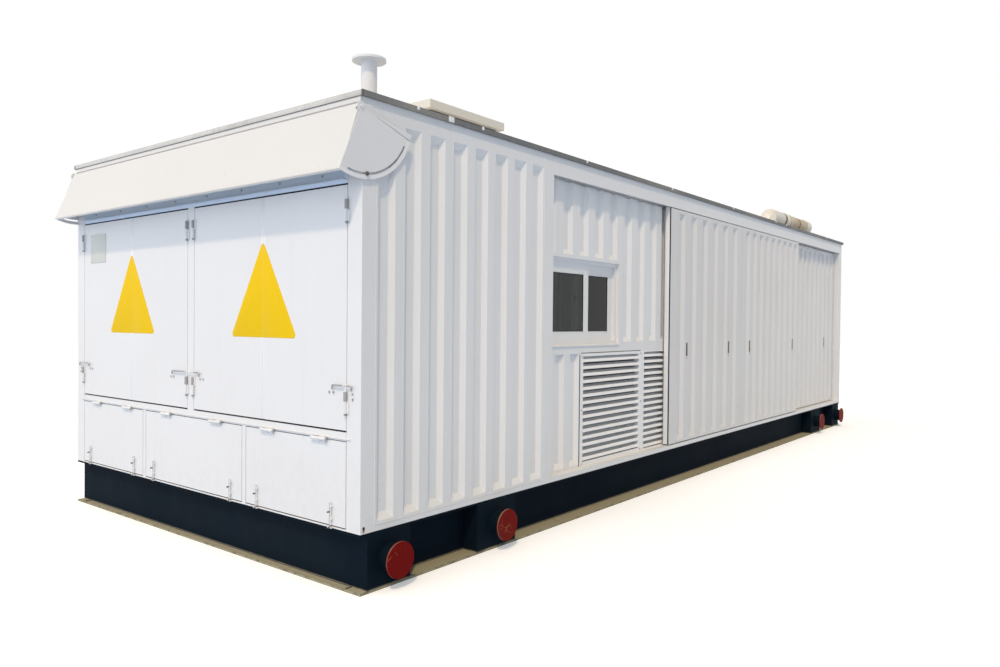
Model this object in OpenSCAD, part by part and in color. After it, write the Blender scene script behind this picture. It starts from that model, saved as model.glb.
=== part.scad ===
// Containerised gas generator set: a steel skid frame that carries a long insulated
// enclosure. X runs along the length, from the end with the four doors (-X) to the far
// end (+X). The side with the window, louvres and sliding doors faces -Y. Z is up and
// z = 0 is the ground under the skid.

/* [Enclosure] */
// Length over the skid and the end faces
body_l = 11000; // [10500:10:11600]
// Width over the long sides
body_w = 4000; // [3900:10:4400]
// Height from the ground to the top of the roof edge trim
total_h = 3180; // [3180:10:3300]
// Thickness of the insulated fixed walls
wall_t = 100; // [80:5:110]
// Width of the corner stiles seen from the end
stile_w = 135; // [120:5:140]
// Width of the corner posts seen from the long sides
corner_w = 120; // [100:5:130]
// Height of the painted bottom rail above the skid
bottom_rail_h = 40; // [35:5:45]
// Height of the roof edge trim
trim_h = 38; // [30:1:45]
// How far the roof edge trim stands out past the walls
trim_out = 22; // [5:1:24]

/* [Skid] */
// Depth of the skid beams
beam_h = 390; // [380:5:400]
// Width of the beam flanges
flange_w = 300; // [280:5:300]
// Thickness of the beam flanges
flange_t = 16; // [14:1:20]
// Thickness of the beam webs
web_t = 10; // [8:1:12]
// Diameter of the lifting pipe stubs
stub_d = 180; // [160:1:200]
// Diameter of the retaining discs on the stubs
cap_d = 240; // [230:1:260]
// How far the stubs stand out from the skid
stub_out = 95; // [60:1:120]

/* [Pressed panels] */
// Depth of the pressed flutes
flute_depth = 34; // [20:1:36]
// Width of a flute at its mouth
flute_mouth = 148; // [100:1:160]
// Width of a flute at its floor
flute_floor = 84; // [50:1:96]
// Length of the sloping closed end of a flute
flute_end = 46; // [20:1:60]

/* [Window bay] */
// How far the window bay lies behind the rails
bay_recess = 85; // [80:1:95]
// Thickness of the window bay walls
bay_t = 60; // [50:1:65]
// Height of the underside of the window opening
sill_z = 1535; // [1500:5:1600]
// Height of the top of the window opening
lintel_z = 2315; // [2280:5:2340]
// Pitch of the blades in the large louvre
blade_pitch = 64.3; // [62:0.1:65]
// Rise of a louvre blade from its outer to its inner edge
blade_rise = 40; // [30:1:44]

/* [Sliding doors] */
// Thickness of a sliding door leaf
slider_t = 46; // [44:1:48]
// Height of the underside of the leaves
slider_z = 442; // [440:1:445]
// Height of the underside of the top rail
rail_z = 2985; // [2980:1:2990]
// Depth of the flush pull pockets
pull_deep = 12; // [8:1:20]

/* [End doors] */
// Height of the top of the hinged doors
leaf_top = 2607; // [2560:1:2609]
// Gap for the rubber seal under and over the hinged doors
seal_gap = 12; // [6:1:14]
// Thickness of the hinged doors
leaf_t = 55; // [40:1:60]
// Height of the top edge of the lower flaps
flap_top = 962; // [940:1:965]
// Thickness of the lower flaps
flap_t = 40; // [30:1:45]
// Width of the middle flap's opening
mid_flap_w = 1416; // [1300:1:1500]
// Gap at the sides of doors and flaps
door_gap = 6; // [5:0.5:8]
// How far the hinge pins stand in front of the end face
hinge_out = 12; // [12:0.5:14]

/* [Rain hood] */
// Height of the hood's pivot
hood_z = 3075; // [3070:1:3085]
// How far the hood's pivot stands in front of the end face
hood_reach = 26; // [24:1:30]
// Radius of the hood from its pivot to the lip
hood_r = 450; // [430:1:452]
// Angle of the hood panel outward from straight down
hood_angle = 23; // [20:1:30]
// Angle of the side plates' inner edge past straight down
hood_back = 72; // [60:1:75]
// Thickness of the hood plates
hood_t = 4; // [3:0.5:5]

/* [Roof] */
// Outside diameter of the vent stack
stack_d = 108; // [90:1:120]
// Diameter of the vent stack flange
stack_flange_d = 229; // [200:1:240]
// Height of the top of the vent stack
stack_top = 3510; // [3450:5:3560]
// Diameter of the exhaust pipe
pipe_d = 219; // [180:1:220]
// Side of the square roof hatch lid
hatch_w = 890; // [700:5:900]

/* [Hidden] */
$fn = 48;

white = [0.90, 0.90, 0.91];
shade_white = [0.84, 0.85, 0.86];
cream = [0.90, 0.88, 0.83];
skid_black = [0.07, 0.10, 0.14];
cap_red = [0.55, 0.08, 0.07];
trim_grey = [0.45, 0.43, 0.41];
glass_tint = [0.20, 0.23, 0.22];
metal = [0.62, 0.62, 0.62];

half_l = body_l / 2;
half_w = body_w / 2;
roof_z = total_h - trim_h;              // top of the walls and rails
rail_top = beam_h + bottom_rail_h;      // top of the bottom rail
cut = 1;                                // how far a cutter runs past a face
web_in = (flange_w - web_t) / 2;        // from a flange's tip to the web
end_web_in = 60;                        // the same on the end beams, whose webs lie near the edge

// A distance from the door end, and one from the front side, as X and Y
function fx(d) = d - half_l;
function fy(d) = d - half_w;

// Posts on the long sides, as [start, width] from the door end
window_post = [1980, 135];
side_post_w = 135;
post_starts = [1980, 4325, 6310, 8570];

// The sliding leaves, as [left, right] from the door end, and the middles of their pulls
leaf_1 = [4332, 6366];
leaf_2 = [6374, 8640];
leaf_3 = [8600, 10860];
pulls_1 = [4762, 5962];
pulls_2 = [6674, 8410];
pulls_3 = [8676, 10318];
pull_w = 46;
pull_h = 144;
pull_z = 1455;
outer_track = 2;                        // from the front face to the outer leaves
inner_track = bay_recess;               // and to the leaf in the inner track
track_w = 46;
track_h = 70;
track_t = 3;
lip_t = 5;
lip_gap = 16;                           // the slot for the hangers between a track's lips
rail_face_t = 2;
rail_back_t = 8;
slider_lip_w = 42;                      // the leaf's thin edge flange
slider_lip_t = 18;
slider_top = rail_z - 8;
flute_foot = 26;                        // from a leaf's edges to its flutes
flute_head = 34;
hanger_t = 6;
hanger_w = 120;
hanger_at = [0.2, 0.8];                 // along the leaf's width
hanger_over = 10;                       // from the rollers' middle to a hanger's top
roller_d = 50;
roller_t = 30;
roller_half_pitch = 30;
roller_z = rail_z + lip_t + 1 + roller_d / 2;

// Window bay, from the door end
bay_start = window_post[0] + window_post[1];
bay_end = 4460;
window_right = 3385;
window_left = 2150;
bay_y = -half_w + bay_recess;           // outer face of the bay's walls
band_h = 75;
band_z = sill_z - band_h;
louvre_left = 2682;
louvre_split = 3852;
lining_t = 4;
frame_bar = 35;
frame_in = 30;                          // from the bay's face to the window frame
frame_t = 60;
sash_w = 690;
sash_bar = 72;
sash_t = 20;
sash_gap = 4;                           // between the two sashes
window_h = lintel_z - sill_z - lining_t;
// The two sashes pass each other in the frame, the left one in front
sash_x = [window_left + frame_bar, window_right - frame_bar - sash_w];
sash_y = [bay_y + frame_in + 10, bay_y + frame_in + 10 + sash_t + sash_gap];
sash_z = sill_z + lining_t + frame_bar;

// End openings, from the middle of the end outwards
centre_post_w = 90;
opening_w = half_w - stile_w - centre_post_w / 2;
mullion_w = 45;
mid_rail_z = 968;
mid_rail_h = 56;
sill_h = 10;
frame_depth = 150;
leaf_z = mid_rail_z + mid_rail_h + seal_gap;
header_z = leaf_top + seal_gap;
hinge_d = 22;
hinge_l = 145;
hinge_levels = [1220, 2447];
knuckle_gap = 0.4;                      // between the two halves of a barrel hinge
knuckle_l = (hinge_l - knuckle_gap) / 2;
// Hinge line of leaf i, counted from the front side, and the way its leaf runs
function leaf_pin(i) = [fy(stile_w), -centre_post_w / 2, centre_post_w / 2, -fy(stile_w)][i];
function leaf_dir(i) = [1, -1, 1, -1][i];
leaf_seam = 9;                          // between the free edges of a pair of leaves
leaf_w = (opening_w - 2 * door_gap - leaf_seam) / 2;

// The door holders: rods that stand in front of the leaves and the frame
holder_d = 9;
holder_out = 16;
holder_z = 1325;
holder_drop = 30;
holder_from = 20;                       // from a hinge line to the rod on its leaf
holder_to = [125, 95, 205, 125];        // and to that rod's far end
holder_post = [16, 62];                 // and the same on the frame's side

// The lower flaps, from the middle of the end, and their drop bolts
flap_axis_z = flap_top + door_gap / 2;
flap_low = beam_h + sill_h + 8;
flap_edges = [[fy(stile_w), -mid_flap_w / 2 - mullion_w], [-mid_flap_w / 2, mid_flap_w / 2],
    [mid_flap_w / 2 + mullion_w, -fy(stile_w)]];
flap_hinge_l = 60;
flap_hinge_in = 0.24;                   // of the flap's width
function flap_hinges(i) = let (e = flap_edges[i], in = (e[1] - e[0]) * flap_hinge_in)
    [e[0] + in, e[1] - in];
drop_in = 145;                          // from a flap's side to a bolt
drop_d = 12;
drop_out = 10;
drop_l = 150;
function drop_bolts(i) = [flap_edges[i][0] + drop_in, flap_edges[i][1] - drop_in];

// The lifting points, as [distance from the end, box width]
lift_points = [[252, 385], [1383, 465]];
lift_z = beam_h / 2;
deck_t = 6;

// Rain hood
plate_y = 12;                           // from the wall to a side plate
hood_x = -half_l - hood_reach;
hood_in = half_w + plate_y;             // inner face of a side plate
slot_r = 415;
slot_w = 15;
slot_from = -63;
slot_to = 14;
pivot_d = 20;
clamp_x = 20;                           // the clamping bolt, behind the end face
clamp_angle = -asin((hood_reach + clamp_x) / slot_r);

// Roof
roof_t = 20;
deck = roof_z + roof_t;                 // top of the roof panel
stack_at = [300, 280];                  // from the door end and the front side
hatch_at = [920, 300];
lid_z = 3332;
lid_t = 62;
pipe_from = 7960;
pipe_to = 9790;
pipe_y = 250;
pipe_top = 3438;

// ---------- shared shapes ----------

// An I-section beam along X, centred on Y, standing on z = 0. Its web and its flanges
// may differ in length, so that crossing beams fit into each other.
module i_beam(web_len, flange_len, web_shift = 0) {
    for (z = [0, beam_h - flange_t])
        translate([-flange_len / 2, -flange_w / 2, z]) cube([flange_len, flange_w, flange_t]);
    translate([-web_len / 2, web_shift - web_t / 2, flange_t])
        cube([web_len, web_t, beam_h - 2 * flange_t]);
}

// A wall panel with pressed flutes whose ends slope shut. The outer face lies at y = 0
// and looks towards -Y. The flutes run from z0 to z1 and stand at the given centres.
module pressed_panel(len, z_low, z_high, thick, centres, z0, z1, depth = flute_depth) {
    slope = (flute_mouth - flute_floor) / 2 / depth;
    end_slope = flute_end / depth;
    reach = flute_mouth / 2 + slope * cut;
    difference() {
        translate([0, 0, z_low]) cube([len, thick, z_high - z_low]);
        if (len(centres) > 0) intersection() {
            translate([0, 0, z_low]) linear_extrude(z_high - z_low) for (c = centres)
                translate([c, 0]) polygon([[-reach, -cut], [reach, -cut],
                    [flute_floor / 2, depth], [-flute_floor / 2, depth]]);
            rotate([90, 0, 90]) linear_extrude(len)
                polygon([[-cut, z0 - end_slope * cut], [-cut, z1 + end_slope * cut],
                    [depth, z1 - flute_end], [depth, z0 + flute_end]]);
        }
    }
}

// n flute centres spread evenly from the first to the last
function spread(n, first, last) = [for (i = [0 : n - 1]) first + (last - first) * i / (n - 1)];

// Evenly spread flutes for a plain bay of the given width
function bay_flutes(w) = let (n = floor((w - 60) / 245), pitch = w / n)
    [for (i = [0 : n - 1]) pitch * (i + 0.5)];

// A plain fluted wall bay of the back and far end walls
module plain_bay(w) {
    pressed_panel(w, rail_top, roof_z, wall_t, bay_flutes(w), rail_top + 45, roof_z - 120);
}

// A flat rectangular ring in the XZ plane, t thick towards +Y
module ring_frame(w, h, bar, t) {
    rotate([90, 0, 0]) translate([0, 0, -t]) linear_extrude(t) difference() {
        square([w, h]);
        translate([bar, bar]) square([w - 2 * bar, h - 2 * bar]);
    }
}

// ---------- skid ----------

module side_beams() {
    color(skid_black) for (s = [-1, 1]) translate([0, s * (half_w - flange_w / 2), 0])
        i_beam(body_l - 2 * end_web_in - 2 * web_t, body_l);
}

module end_beams() {
    color(skid_black) for (s = [-1, 1]) translate([s * (half_l - flange_w / 2), 0, 0])
        rotate([0, 0, -90]) i_beam(body_w - 2 * web_in, body_w - 2 * flange_w, s * (web_in - end_web_in));
}

module cross_beams() {
    pitch = 1800;
    color(skid_black) for (i = [-2 : 2]) translate([i * pitch, 0, 0]) rotate([0, 0, 90])
        i_beam(body_w - 2 * web_in - 2 * web_t, body_w - 2 * flange_w);
}

// Box plates that close the channel of the side beams round each lifting stub
module lifting_boxes() {
    plate_t = 12;
    depth = web_in;
    h = beam_h - 2 * flange_t;
    color(skid_black) for (sx = [-1, 1], sy = [-1, 1], p = lift_points)
        translate([sx * (half_l - p[0]), sy * half_w, flange_t]) mirror([0, sy > 0 ? 1 : 0, 0])
            difference() {
                translate([-p[1] / 2, 0, 0]) cube([p[1], depth, h]);
                translate([-p[1] / 2 + plate_t, plate_t, -cut])
                    cube([p[1] - 2 * plate_t, depth, h + 2 * cut]);
                translate([0, -cut, lift_z - flange_t]) rotate([-90, 0, 0])
                    cylinder(d = stub_d, h = plate_t + 2 * cut);
            }
}

// Lifting pipe stubs, welded to the web and standing out through the box plates
module lifting_stubs() {
    bore_d = stub_d - 24;
    color(skid_black) for (sx = [-1, 1], sy = [-1, 1], p = lift_points)
        translate([sx * (half_l - p[0]), sy * (half_w - web_in), lift_z]) rotate([sy * -90, 0, 0])
            difference() {
                cylinder(d = stub_d, h = web_in + stub_out);
                translate([0, 0, -cut]) cylinder(d = bore_d, h = web_in + stub_out + 2 * cut);
            }
}

module lifting_caps() {
    cap_t = 14;
    color(cap_red) for (sx = [-1, 1], sy = [-1, 1], p = lift_points)
        translate([sx * (half_l - p[0]), sy * (half_w + stub_out), lift_z]) rotate([sy * -90, 0, 0])
            cylinder(d = cap_d, h = cap_t);
}

module floor_deck() {
    inset = 160;
    color(metal) translate([-half_l + inset, -half_w + inset, beam_h])
        cube([body_l - 2 * inset, body_w - 2 * inset, deck_t]);
}

// ---------- posts and rails ----------

module corner_posts() {
    hole_d = 20;
    hole_deep = 30;
    color(white) for (sx = [-1, 1], sy = [-1, 1]) difference() {
        translate([sx * half_l - (sx > 0 ? corner_w : 0),
            sy * half_w - (sy > 0 ? stile_w : 0), beam_h])
            cube([corner_w, stile_w, roof_z - beam_h]);
        if (sx < 0 && sy < 0) translate([-half_l + 28, -half_w - cut, beam_h + 36])
            rotate([-90, 0, 0]) cylinder(d = hole_d, h = hole_deep + cut);
    }
}

// The post beside the window bay and the posts of the plain back wall
module side_posts() {
    color(white) {
        translate([fx(window_post[0]), -half_w, rail_top])
            cube([window_post[1], frame_depth, roof_z - rail_top]);
        for (s = post_starts) translate([fx(s), half_w - frame_depth, rail_top])
            cube([side_post_w, frame_depth, roof_z - rail_top]);
    }
}

// Posts behind the sliding doors, clear of both tracks
module inner_posts() {
    post_w = 100;
    depth = 60;
    color(white) for (x = [bay_end, leaf_1[1] + 4 - post_w / 2, leaf_2[1] - post_w / 2])
        translate([fx(x), fy(frame_depth), beam_h + deck_t])
            cube([post_w, depth, roof_z - beam_h - deck_t]);
}

module bottom_rails() {
    color(white) for (y = [-half_w, half_w - frame_depth]) translate([fx(corner_w), y, beam_h])
        cube([body_l - 2 * corner_w, frame_depth, bottom_rail_h]);
}

// The thin sill under the lower flaps, with the drop bolts' keepers in front of it, and
// the rail under the far end wall
module end_sills() {
    between = body_w - 2 * stile_w;
    keeper = [20, 36];
    color(white) {
        translate([-half_l, -between / 2, beam_h]) cube([corner_w, between, sill_h]);
        for (i = [0 : 2], y = drop_bolts(i))
            translate([-half_l - keeper[0], y - keeper[1] / 2, beam_h])
                cube([keeper[0], keeper[1], sill_h]);
        translate([half_l - wall_t, -between / 2, beam_h]) cube([wall_t, between, bottom_rail_h]);
    }
}

// The rail over the window bay and the sliding doors: a web behind the outer face plate
// and a deep head, with room between them for the two door tracks
module front_top_rail() {
    color(white) translate([fx(bay_start), -half_w, rail_z]) rotate([90, 0, 90])
        linear_extrude(body_l - bay_start - corner_w) {
            translate([0, track_h]) square([frame_depth, roof_z - rail_z - track_h]);
            square([rail_face_t, track_h]);
            translate([frame_depth - rail_back_t, 0]) square([rail_back_t, track_h]);
        }
}

// The two C-section tracks under the head, whose lips carry the hanger rollers
module door_tracks() {
    color(metal) for (y = [outer_track, inner_track] + [1, 1] * (slider_t - track_w) / 2)
        translate([fx(bay_start), -half_w + y, rail_z]) rotate([90, 0, 90])
            linear_extrude(body_l - bay_start - corner_w) difference() {
                square([track_w, track_h]);
                translate([track_t, lip_t])
                    square([track_w - 2 * track_t, track_h - lip_t - track_t]);
                translate([(track_w - lip_gap) / 2, -cut]) square([lip_gap, lip_t + 2 * cut]);
            }
}

// ---------- front side ----------

module front_wall() {
    w = window_post[0] - corner_w;
    color(shade_white) translate([fx(corner_w), -half_w, 0])
        pressed_panel(w, rail_top, roof_z, wall_t, spread(8, 210 - corner_w, 1885 - corner_w),
            rail_top + 20, 3022);
}

module bay_upper_wall() {
    w = window_right - bay_start;
    color(shade_white) translate([fx(bay_start), bay_y, 0])
        pressed_panel(w, lintel_z, rail_z, bay_t, spread(5, 88, w - 122), lintel_z + 32,
            rail_z + 40);
}

module bay_side_wall() {
    w = bay_end - window_right;
    color(shade_white) translate([fx(window_right), bay_y, 0])
        pressed_panel(w, sill_z, rail_z, bay_t, spread(4, 165, w - 110), sill_z + 22,
            rail_z + 40);
}

// The jamb strip beside the window and the lining under it
module window_surround() {
    color(shade_white) translate([fx(bay_start), bay_y, sill_z]) {
        cube([window_left - bay_start, bay_t, lintel_z - sill_z]);
        translate([window_left - bay_start, 0, 0])
            cube([window_right - window_left, bay_t, lining_t]);
    }
}

module window_frame() {
    color(white) translate([fx(window_left), bay_y + frame_in, sill_z + lining_t])
        ring_frame(window_right - window_left, window_h, frame_bar, frame_t);
}

module window_sashes() {
    color(white) for (i = [0, 1]) translate([fx(sash_x[i]), sash_y[i], sash_z])
        ring_frame(sash_w, window_h - 2 * frame_bar, sash_bar, sash_t);
}

module window_glass() {
    glass_t = 5;
    in = sash_bar;
    color(glass_tint) for (i = [0, 1])
        translate([fx(sash_x[i] + in), sash_y[i] + (sash_t - glass_t) / 2, sash_z + in])
            cube([sash_w - 2 * in, glass_t, window_h - 2 * frame_bar - 2 * in]);
}

module bay_band() {
    color(shade_white) translate([fx(bay_start), bay_y, band_z])
        cube([bay_end - bay_start, bay_t, band_h]);
}

module bay_lower_wall() {
    w = louvre_left - bay_start;
    color(shade_white) translate([fx(bay_start), bay_y, 0])
        pressed_panel(w, rail_top, band_z, bay_t, [w - 330, w - 90], rail_top + 20, band_z + 40);
}

// A louvre: a plate frame with sloping blades between its side bars
module louvre(w, z_low, z_high, bars, first, count, pitch, t) {
    blade_t = 5;
    clear_w = w - bars[0] - bars[1];
    translate([0, 0, z_low]) difference() {
        cube([w, t, z_high - z_low]);
        translate([bars[0], -cut, first - z_low - pitch / 2])
            cube([clear_w, t + 2 * cut, count * pitch]);
    }
    for (i = [0 : count - 1]) translate([bars[0], 0, first + i * pitch])
        rotate([90, 0, 90]) linear_extrude(clear_w)
            polygon([[0, -blade_rise / 2], [t, blade_rise / 2], [t, blade_rise / 2 + blade_t],
                [0, blade_t - blade_rise / 2]]);
}

module large_louvre() {
    color(white) translate([fx(louvre_left), bay_y - 8, 0])
        louvre(louvre_split - louvre_left, rail_top, band_z, [46, 60], 500, 15, blade_pitch,
            bay_t);
}

module small_louvre() {
    color(white) translate([fx(louvre_split), bay_y, 0])
        louvre(bay_end - louvre_split, rail_top, band_z, [62, 40], 476, 16, 62.5, bay_t);
}

// ---------- back and far end ----------

module back_wall() {
    starts = concat([corner_w], [for (s = post_starts) s + side_post_w]);
    ends = concat(post_starts, [body_l - corner_w]);
    color(shade_white) for (i = [0 : 4]) translate([fx(ends[i]), half_w, 0]) rotate([0, 0, 180])
        plain_bay(ends[i] - starts[i]);
}

module far_end_wall() {
    w = (body_w - 2 * stile_w - side_post_w) / 2;
    color(shade_white) for (s = [-1, 1])
        translate([half_l, s > 0 ? side_post_w / 2 : -side_post_w / 2 - w, 0]) rotate([0, 0, 90])
            plain_bay(w);
    color(white) translate([half_l - wall_t, -side_post_w / 2, rail_top])
        cube([wall_t, side_post_w, roof_z - rail_top]);
}

// ---------- door end frame ----------

// The header, with a folded drip angle along it that the hood closes on
module door_header() {
    drip_z = 2640;
    drip_h = 72;
    drip_out = 26;
    drip_t = 3;
    drip_lip = 6;
    drip_end = 20;
    color(white) translate([-half_l, fy(stile_w), 0]) {
        translate([0, 0, header_z]) cube([frame_depth, body_w - 2 * stile_w, roof_z - header_z]);
        translate([0, drip_end, drip_z]) {
            translate([-drip_out, 0, 0])
                cube([drip_out, body_w - 2 * stile_w - 2 * drip_end, drip_t]);
            translate([-drip_out - drip_t, 0, -drip_lip])
                cube([drip_t, body_w - 2 * stile_w - 2 * drip_end, drip_lip + drip_t]);
            translate([-drip_t, 0, 0])
                cube([drip_t, body_w - 2 * stile_w - 2 * drip_end, drip_h]);
        }
    }
}

module door_centre_post() {
    z = mid_rail_z + mid_rail_h;
    color(white) translate([-half_l, -centre_post_w / 2, z])
        cube([frame_depth, centre_post_w, header_z - z]);
}

module door_mid_rail() {
    color(white) translate([-half_l, fy(stile_w), mid_rail_z])
        cube([frame_depth, body_w - 2 * stile_w, mid_rail_h]);
}

module flap_mullions() {
    color(white) for (s = [-1, 1])
        translate([-half_l, s * (mid_flap_w + mullion_w) / 2 - mullion_w / 2, beam_h + sill_h])
            cube([frame_depth, mullion_w, mid_rail_z - beam_h - sill_h]);
}

// ---------- hinged end doors ----------

// Half of a barrel hinge with its tab: the lower halves belong to the frame
module knuckle(dir, z) {
    tab = 26;
    tab_t = 8;
    translate([-half_l - hinge_out, 0, z]) {
        cylinder(d = hinge_d, h = knuckle_l);
        translate([hinge_out - tab_t, dir > 0 ? 0 : -tab, 0]) cube([tab_t, tab, knuckle_l]);
    }
}

// A holder rod along Y, from a to b, on feet: it stands clear of the face behind it, and
// its end at b hangs down unless drop is 0
module holder_rod(a, b, feet, drop) {
    low = min(a, b) - holder_d / 2;
    translate([-half_l, 0, holder_z]) {
        translate([-holder_out, low, 0]) rotate([-90, 0, 0])
            cylinder(d = holder_d, h = abs(b - a) + holder_d);
        for (y = feet) translate([0, y, 0]) rotate([0, -90, 0])
            cylinder(d = holder_d, h = holder_out);
        if (drop > 0) translate([-holder_out, b, -drop]) cylinder(d = holder_d, h = drop);
    }
}

// The frame's hinge halves and its parts of the door holders
module end_hinge_lugs() {
    color(white) {
        for (i = [0 : 3]) let (d = leaf_dir(i), pin_y = leaf_pin(i) + d * door_gap / 2) {
            for (z = hinge_levels) translate([0, pin_y, 0]) knuckle(-d, z - hinge_l / 2);
            if (i == 0 || i == 3) holder_rod(pin_y - d * holder_post[0],
                pin_y - d * holder_post[1], [pin_y - d * holder_post[1]], holder_drop);
        }
        holder_rod(-centre_post_w / 3, centre_post_w / 3, [0], 0);
        for (i = [0 : 2], y = flap_hinges(i)) flap_knuckle(y, -1);
    }
}

module end_door(i) {
    d = leaf_dir(i);
    pin_y = leaf_pin(i) + d * door_gap / 2;
    color(white) {
        translate([-half_l, d > 0 ? pin_y + door_gap / 2 : pin_y - door_gap / 2 - leaf_w, leaf_z])
            cube([leaf_t, leaf_w, leaf_top - leaf_z]);
        for (z = hinge_levels) translate([0, pin_y, 0]) knuckle(d, z + knuckle_gap / 2);
        holder_rod(pin_y + d * holder_from, pin_y + d * holder_to[i],
            [pin_y + d * holder_from, pin_y + d * holder_to[i]], holder_drop);
    }
}

module end_door_1() end_door(0);
module end_door_2() end_door(1);
module end_door_3() end_door(2);
module end_door_4() end_door(3);

// ---------- lower flaps ----------

// Half of a flap hinge: side 1 belongs to the flap, side -1 to the mid rail
module flap_knuckle(y, side) {
    tab = 24;
    tab_t = 4;
    translate([-half_l - hinge_out, y + (side > 0 ? 0 : -flap_hinge_l), flap_axis_z]) {
        rotate([-90, 0, 0]) translate([0, 0, side > 0 ? knuckle_gap : 0])
            cylinder(d = hinge_d, h = flap_hinge_l - knuckle_gap);
        translate([hinge_out - tab_t - 3, side > 0 ? knuckle_gap : 0, side > 0 ? -tab : 0])
            cube([tab_t + 3, flap_hinge_l - knuckle_gap, tab]);
    }
}

// A drop bolt on a flap: a rod in two guides, with a knob, raised clear of its keeper
module drop_bolt(y) {
    guide = [16, 30, 14];
    knob_d = 8;
    knob_l = 22;
    translate([-half_l, y, flap_low]) {
        translate([-drop_out, 0, 0]) cylinder(d = drop_d, h = drop_l);
        for (z = [0.25, 0.8]) translate([-guide[0], -guide[1] / 2, z * drop_l]) cube(guide);
        translate([-drop_out, 0, drop_l * 0.6]) rotate([0, -90, 0])
            cylinder(d = knob_d, h = knob_l);
    }
}

module end_flap(i) {
    e = flap_edges[i];
    color(white) {
        translate([-half_l, e[0] + door_gap, flap_low])
            cube([flap_t, e[1] - e[0] - 2 * door_gap, flap_top - flap_low]);
        for (y = flap_hinges(i)) flap_knuckle(y, 1);
        for (y = drop_bolts(i)) drop_bolt(y);
    }
}

module end_flap_1() end_flap(0);
module end_flap_2() end_flap(1);
module end_flap_3() end_flap(2);

// ---------- sliding side doors ----------

// A leaf with its flutes, thin edge flanges and pull pockets, hung from four rollers
module side_door(edges, track, centres, pulls) {
    w = edges[1] - edges[0];
    color(shade_white) translate([fx(edges[0]), -half_w + track, 0]) {
        difference() {
            pressed_panel(w, slider_z, slider_top, slider_t, centres, slider_z + flute_foot,
                slider_top - flute_head);
            for (x = [-cut, w - slider_lip_w]) translate([x, slider_lip_t, slider_z - cut])
                cube([slider_lip_w + cut, slider_t, slider_top - slider_z + 2 * cut]);
            for (x = pulls) translate([x - edges[0] - pull_w / 2, -cut, pull_z - pull_h / 2])
                cube([pull_w, pull_deep + cut, pull_h]);
        }
        for (part = hanger_at) translate([w * part, slider_t / 2, 0]) {
            translate([-hanger_w / 2, -hanger_t / 2, slider_top])
                cube([hanger_w, hanger_t, roller_z + hanger_over - slider_top]);
            for (dx = [-1, 1]) translate([dx * roller_half_pitch, -roller_t / 2, roller_z])
                rotate([-90, 0, 0]) cylinder(d = roller_d, h = roller_t);
        }
    }
}

module side_door_1() side_door(leaf_1, outer_track,
    spread(6, 4610 - leaf_1[0], 6130 - leaf_1[0]), pulls_1);
module side_door_2() side_door(leaf_2, outer_track,
    spread(9, 6575 - leaf_2[0], 8520 - leaf_2[0]), pulls_2);
module side_door_3() side_door(leaf_3, inner_track,
    spread(9, 8780 - leaf_3[0], 10690 - leaf_3[0]), pulls_3);

// ---------- rain hood ----------

// A spoke of the hood from its pivot, in the XZ plane: angles from straight down,
// outward positive, and the wedge between two such angles
function spoke(r, a) = [-r * sin(a), -r * cos(a)];
module wedge(from, to) {
    far_r = 2 * hood_r;
    polygon([[0, 0], spoke(far_r, from), spoke(far_r, (from + to) / 2), spoke(far_r, to)]);
}

module side_plate_outline() {
    hub_r = 32;
    difference() {
        union() {
            intersection() {
                circle(r = hood_r, $fn = 96);
                wedge(-hood_back, hood_angle);
            }
            circle(r = hub_r);
        }
        circle(d = pivot_d + 0.1);
        intersection() {
            difference() {
                circle(r = slot_r + slot_w / 2, $fn = 96);
                circle(r = slot_r - slot_w / 2, $fn = 96);
            }
            wedge(slot_from, slot_to);
        }
        for (a = [slot_from, slot_to]) translate(spoke(slot_r, a)) circle(d = slot_w);
    }
}

module hood_side_plates() {
    color(cream) for (y = [-hood_in, hood_in + hood_t]) translate([hood_x, y, hood_z])
        rotate([90, 0, 0]) linear_extrude(hood_t) side_plate_outline();
}

// The flat front panel: it hangs from a tube on the pivot line and has a folded lip
module hood_panel() {
    tube_d = 36;
    tube_end = 10;                      // from a tube end to the wall's side plane
    upper_r = 44;
    lip = 22;
    color(cream) translate([hood_x, 0, hood_z]) rotate([90, 0, 0]) {
        linear_extrude(body_w - 2 * tube_end, center = true) {
            circle(d = tube_d);
            rotate(-hood_angle) translate([0, -upper_r - 2]) square([hood_t, upper_r]);
        }
        linear_extrude(2 * hood_in, center = true) rotate(-hood_angle) {
            translate([0, -hood_r]) square([hood_t, hood_r - upper_r]);
            translate([0, -hood_r]) square([lip, hood_t]);
        }
    }
}

// Pivot lugs with their pins, and the clamping bolts, on the corner posts' sides
module hood_pivots() {
    lug_t = 6;
    lug_r = 26;
    lug_l = 100;
    pin_l = plate_y + hood_t + 10;
    bolt_d = 12;
    head_d = 26;
    head_t = 8;
    color(metal) for (s = [-1, 1]) {
        translate([0, s * half_w, hood_z]) rotate([s * -90, 0, 0]) {
            linear_extrude(lug_t) {
                translate([hood_x, 0]) circle(r = lug_r);
                translate([hood_x, -lug_r]) square([lug_l, 2 * lug_r]);
            }
            translate([hood_x, 0, 0]) cylinder(d = pivot_d, h = pin_l);
        }
        translate([-half_l + clamp_x, s * half_w, hood_z - slot_r * cos(clamp_angle)])
            rotate([s * -90, 0, 0]) {
                cylinder(d = bolt_d, h = pin_l);
                translate([0, 0, hood_in - half_w + hood_t + 1]) cylinder(d = head_d, h = head_t);
            }
    }
}

// ---------- roof ----------

module roof_panel() {
    color(white) translate([-half_l, -half_w, roof_z]) cube([body_l, body_w, roof_t]);
}

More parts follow.
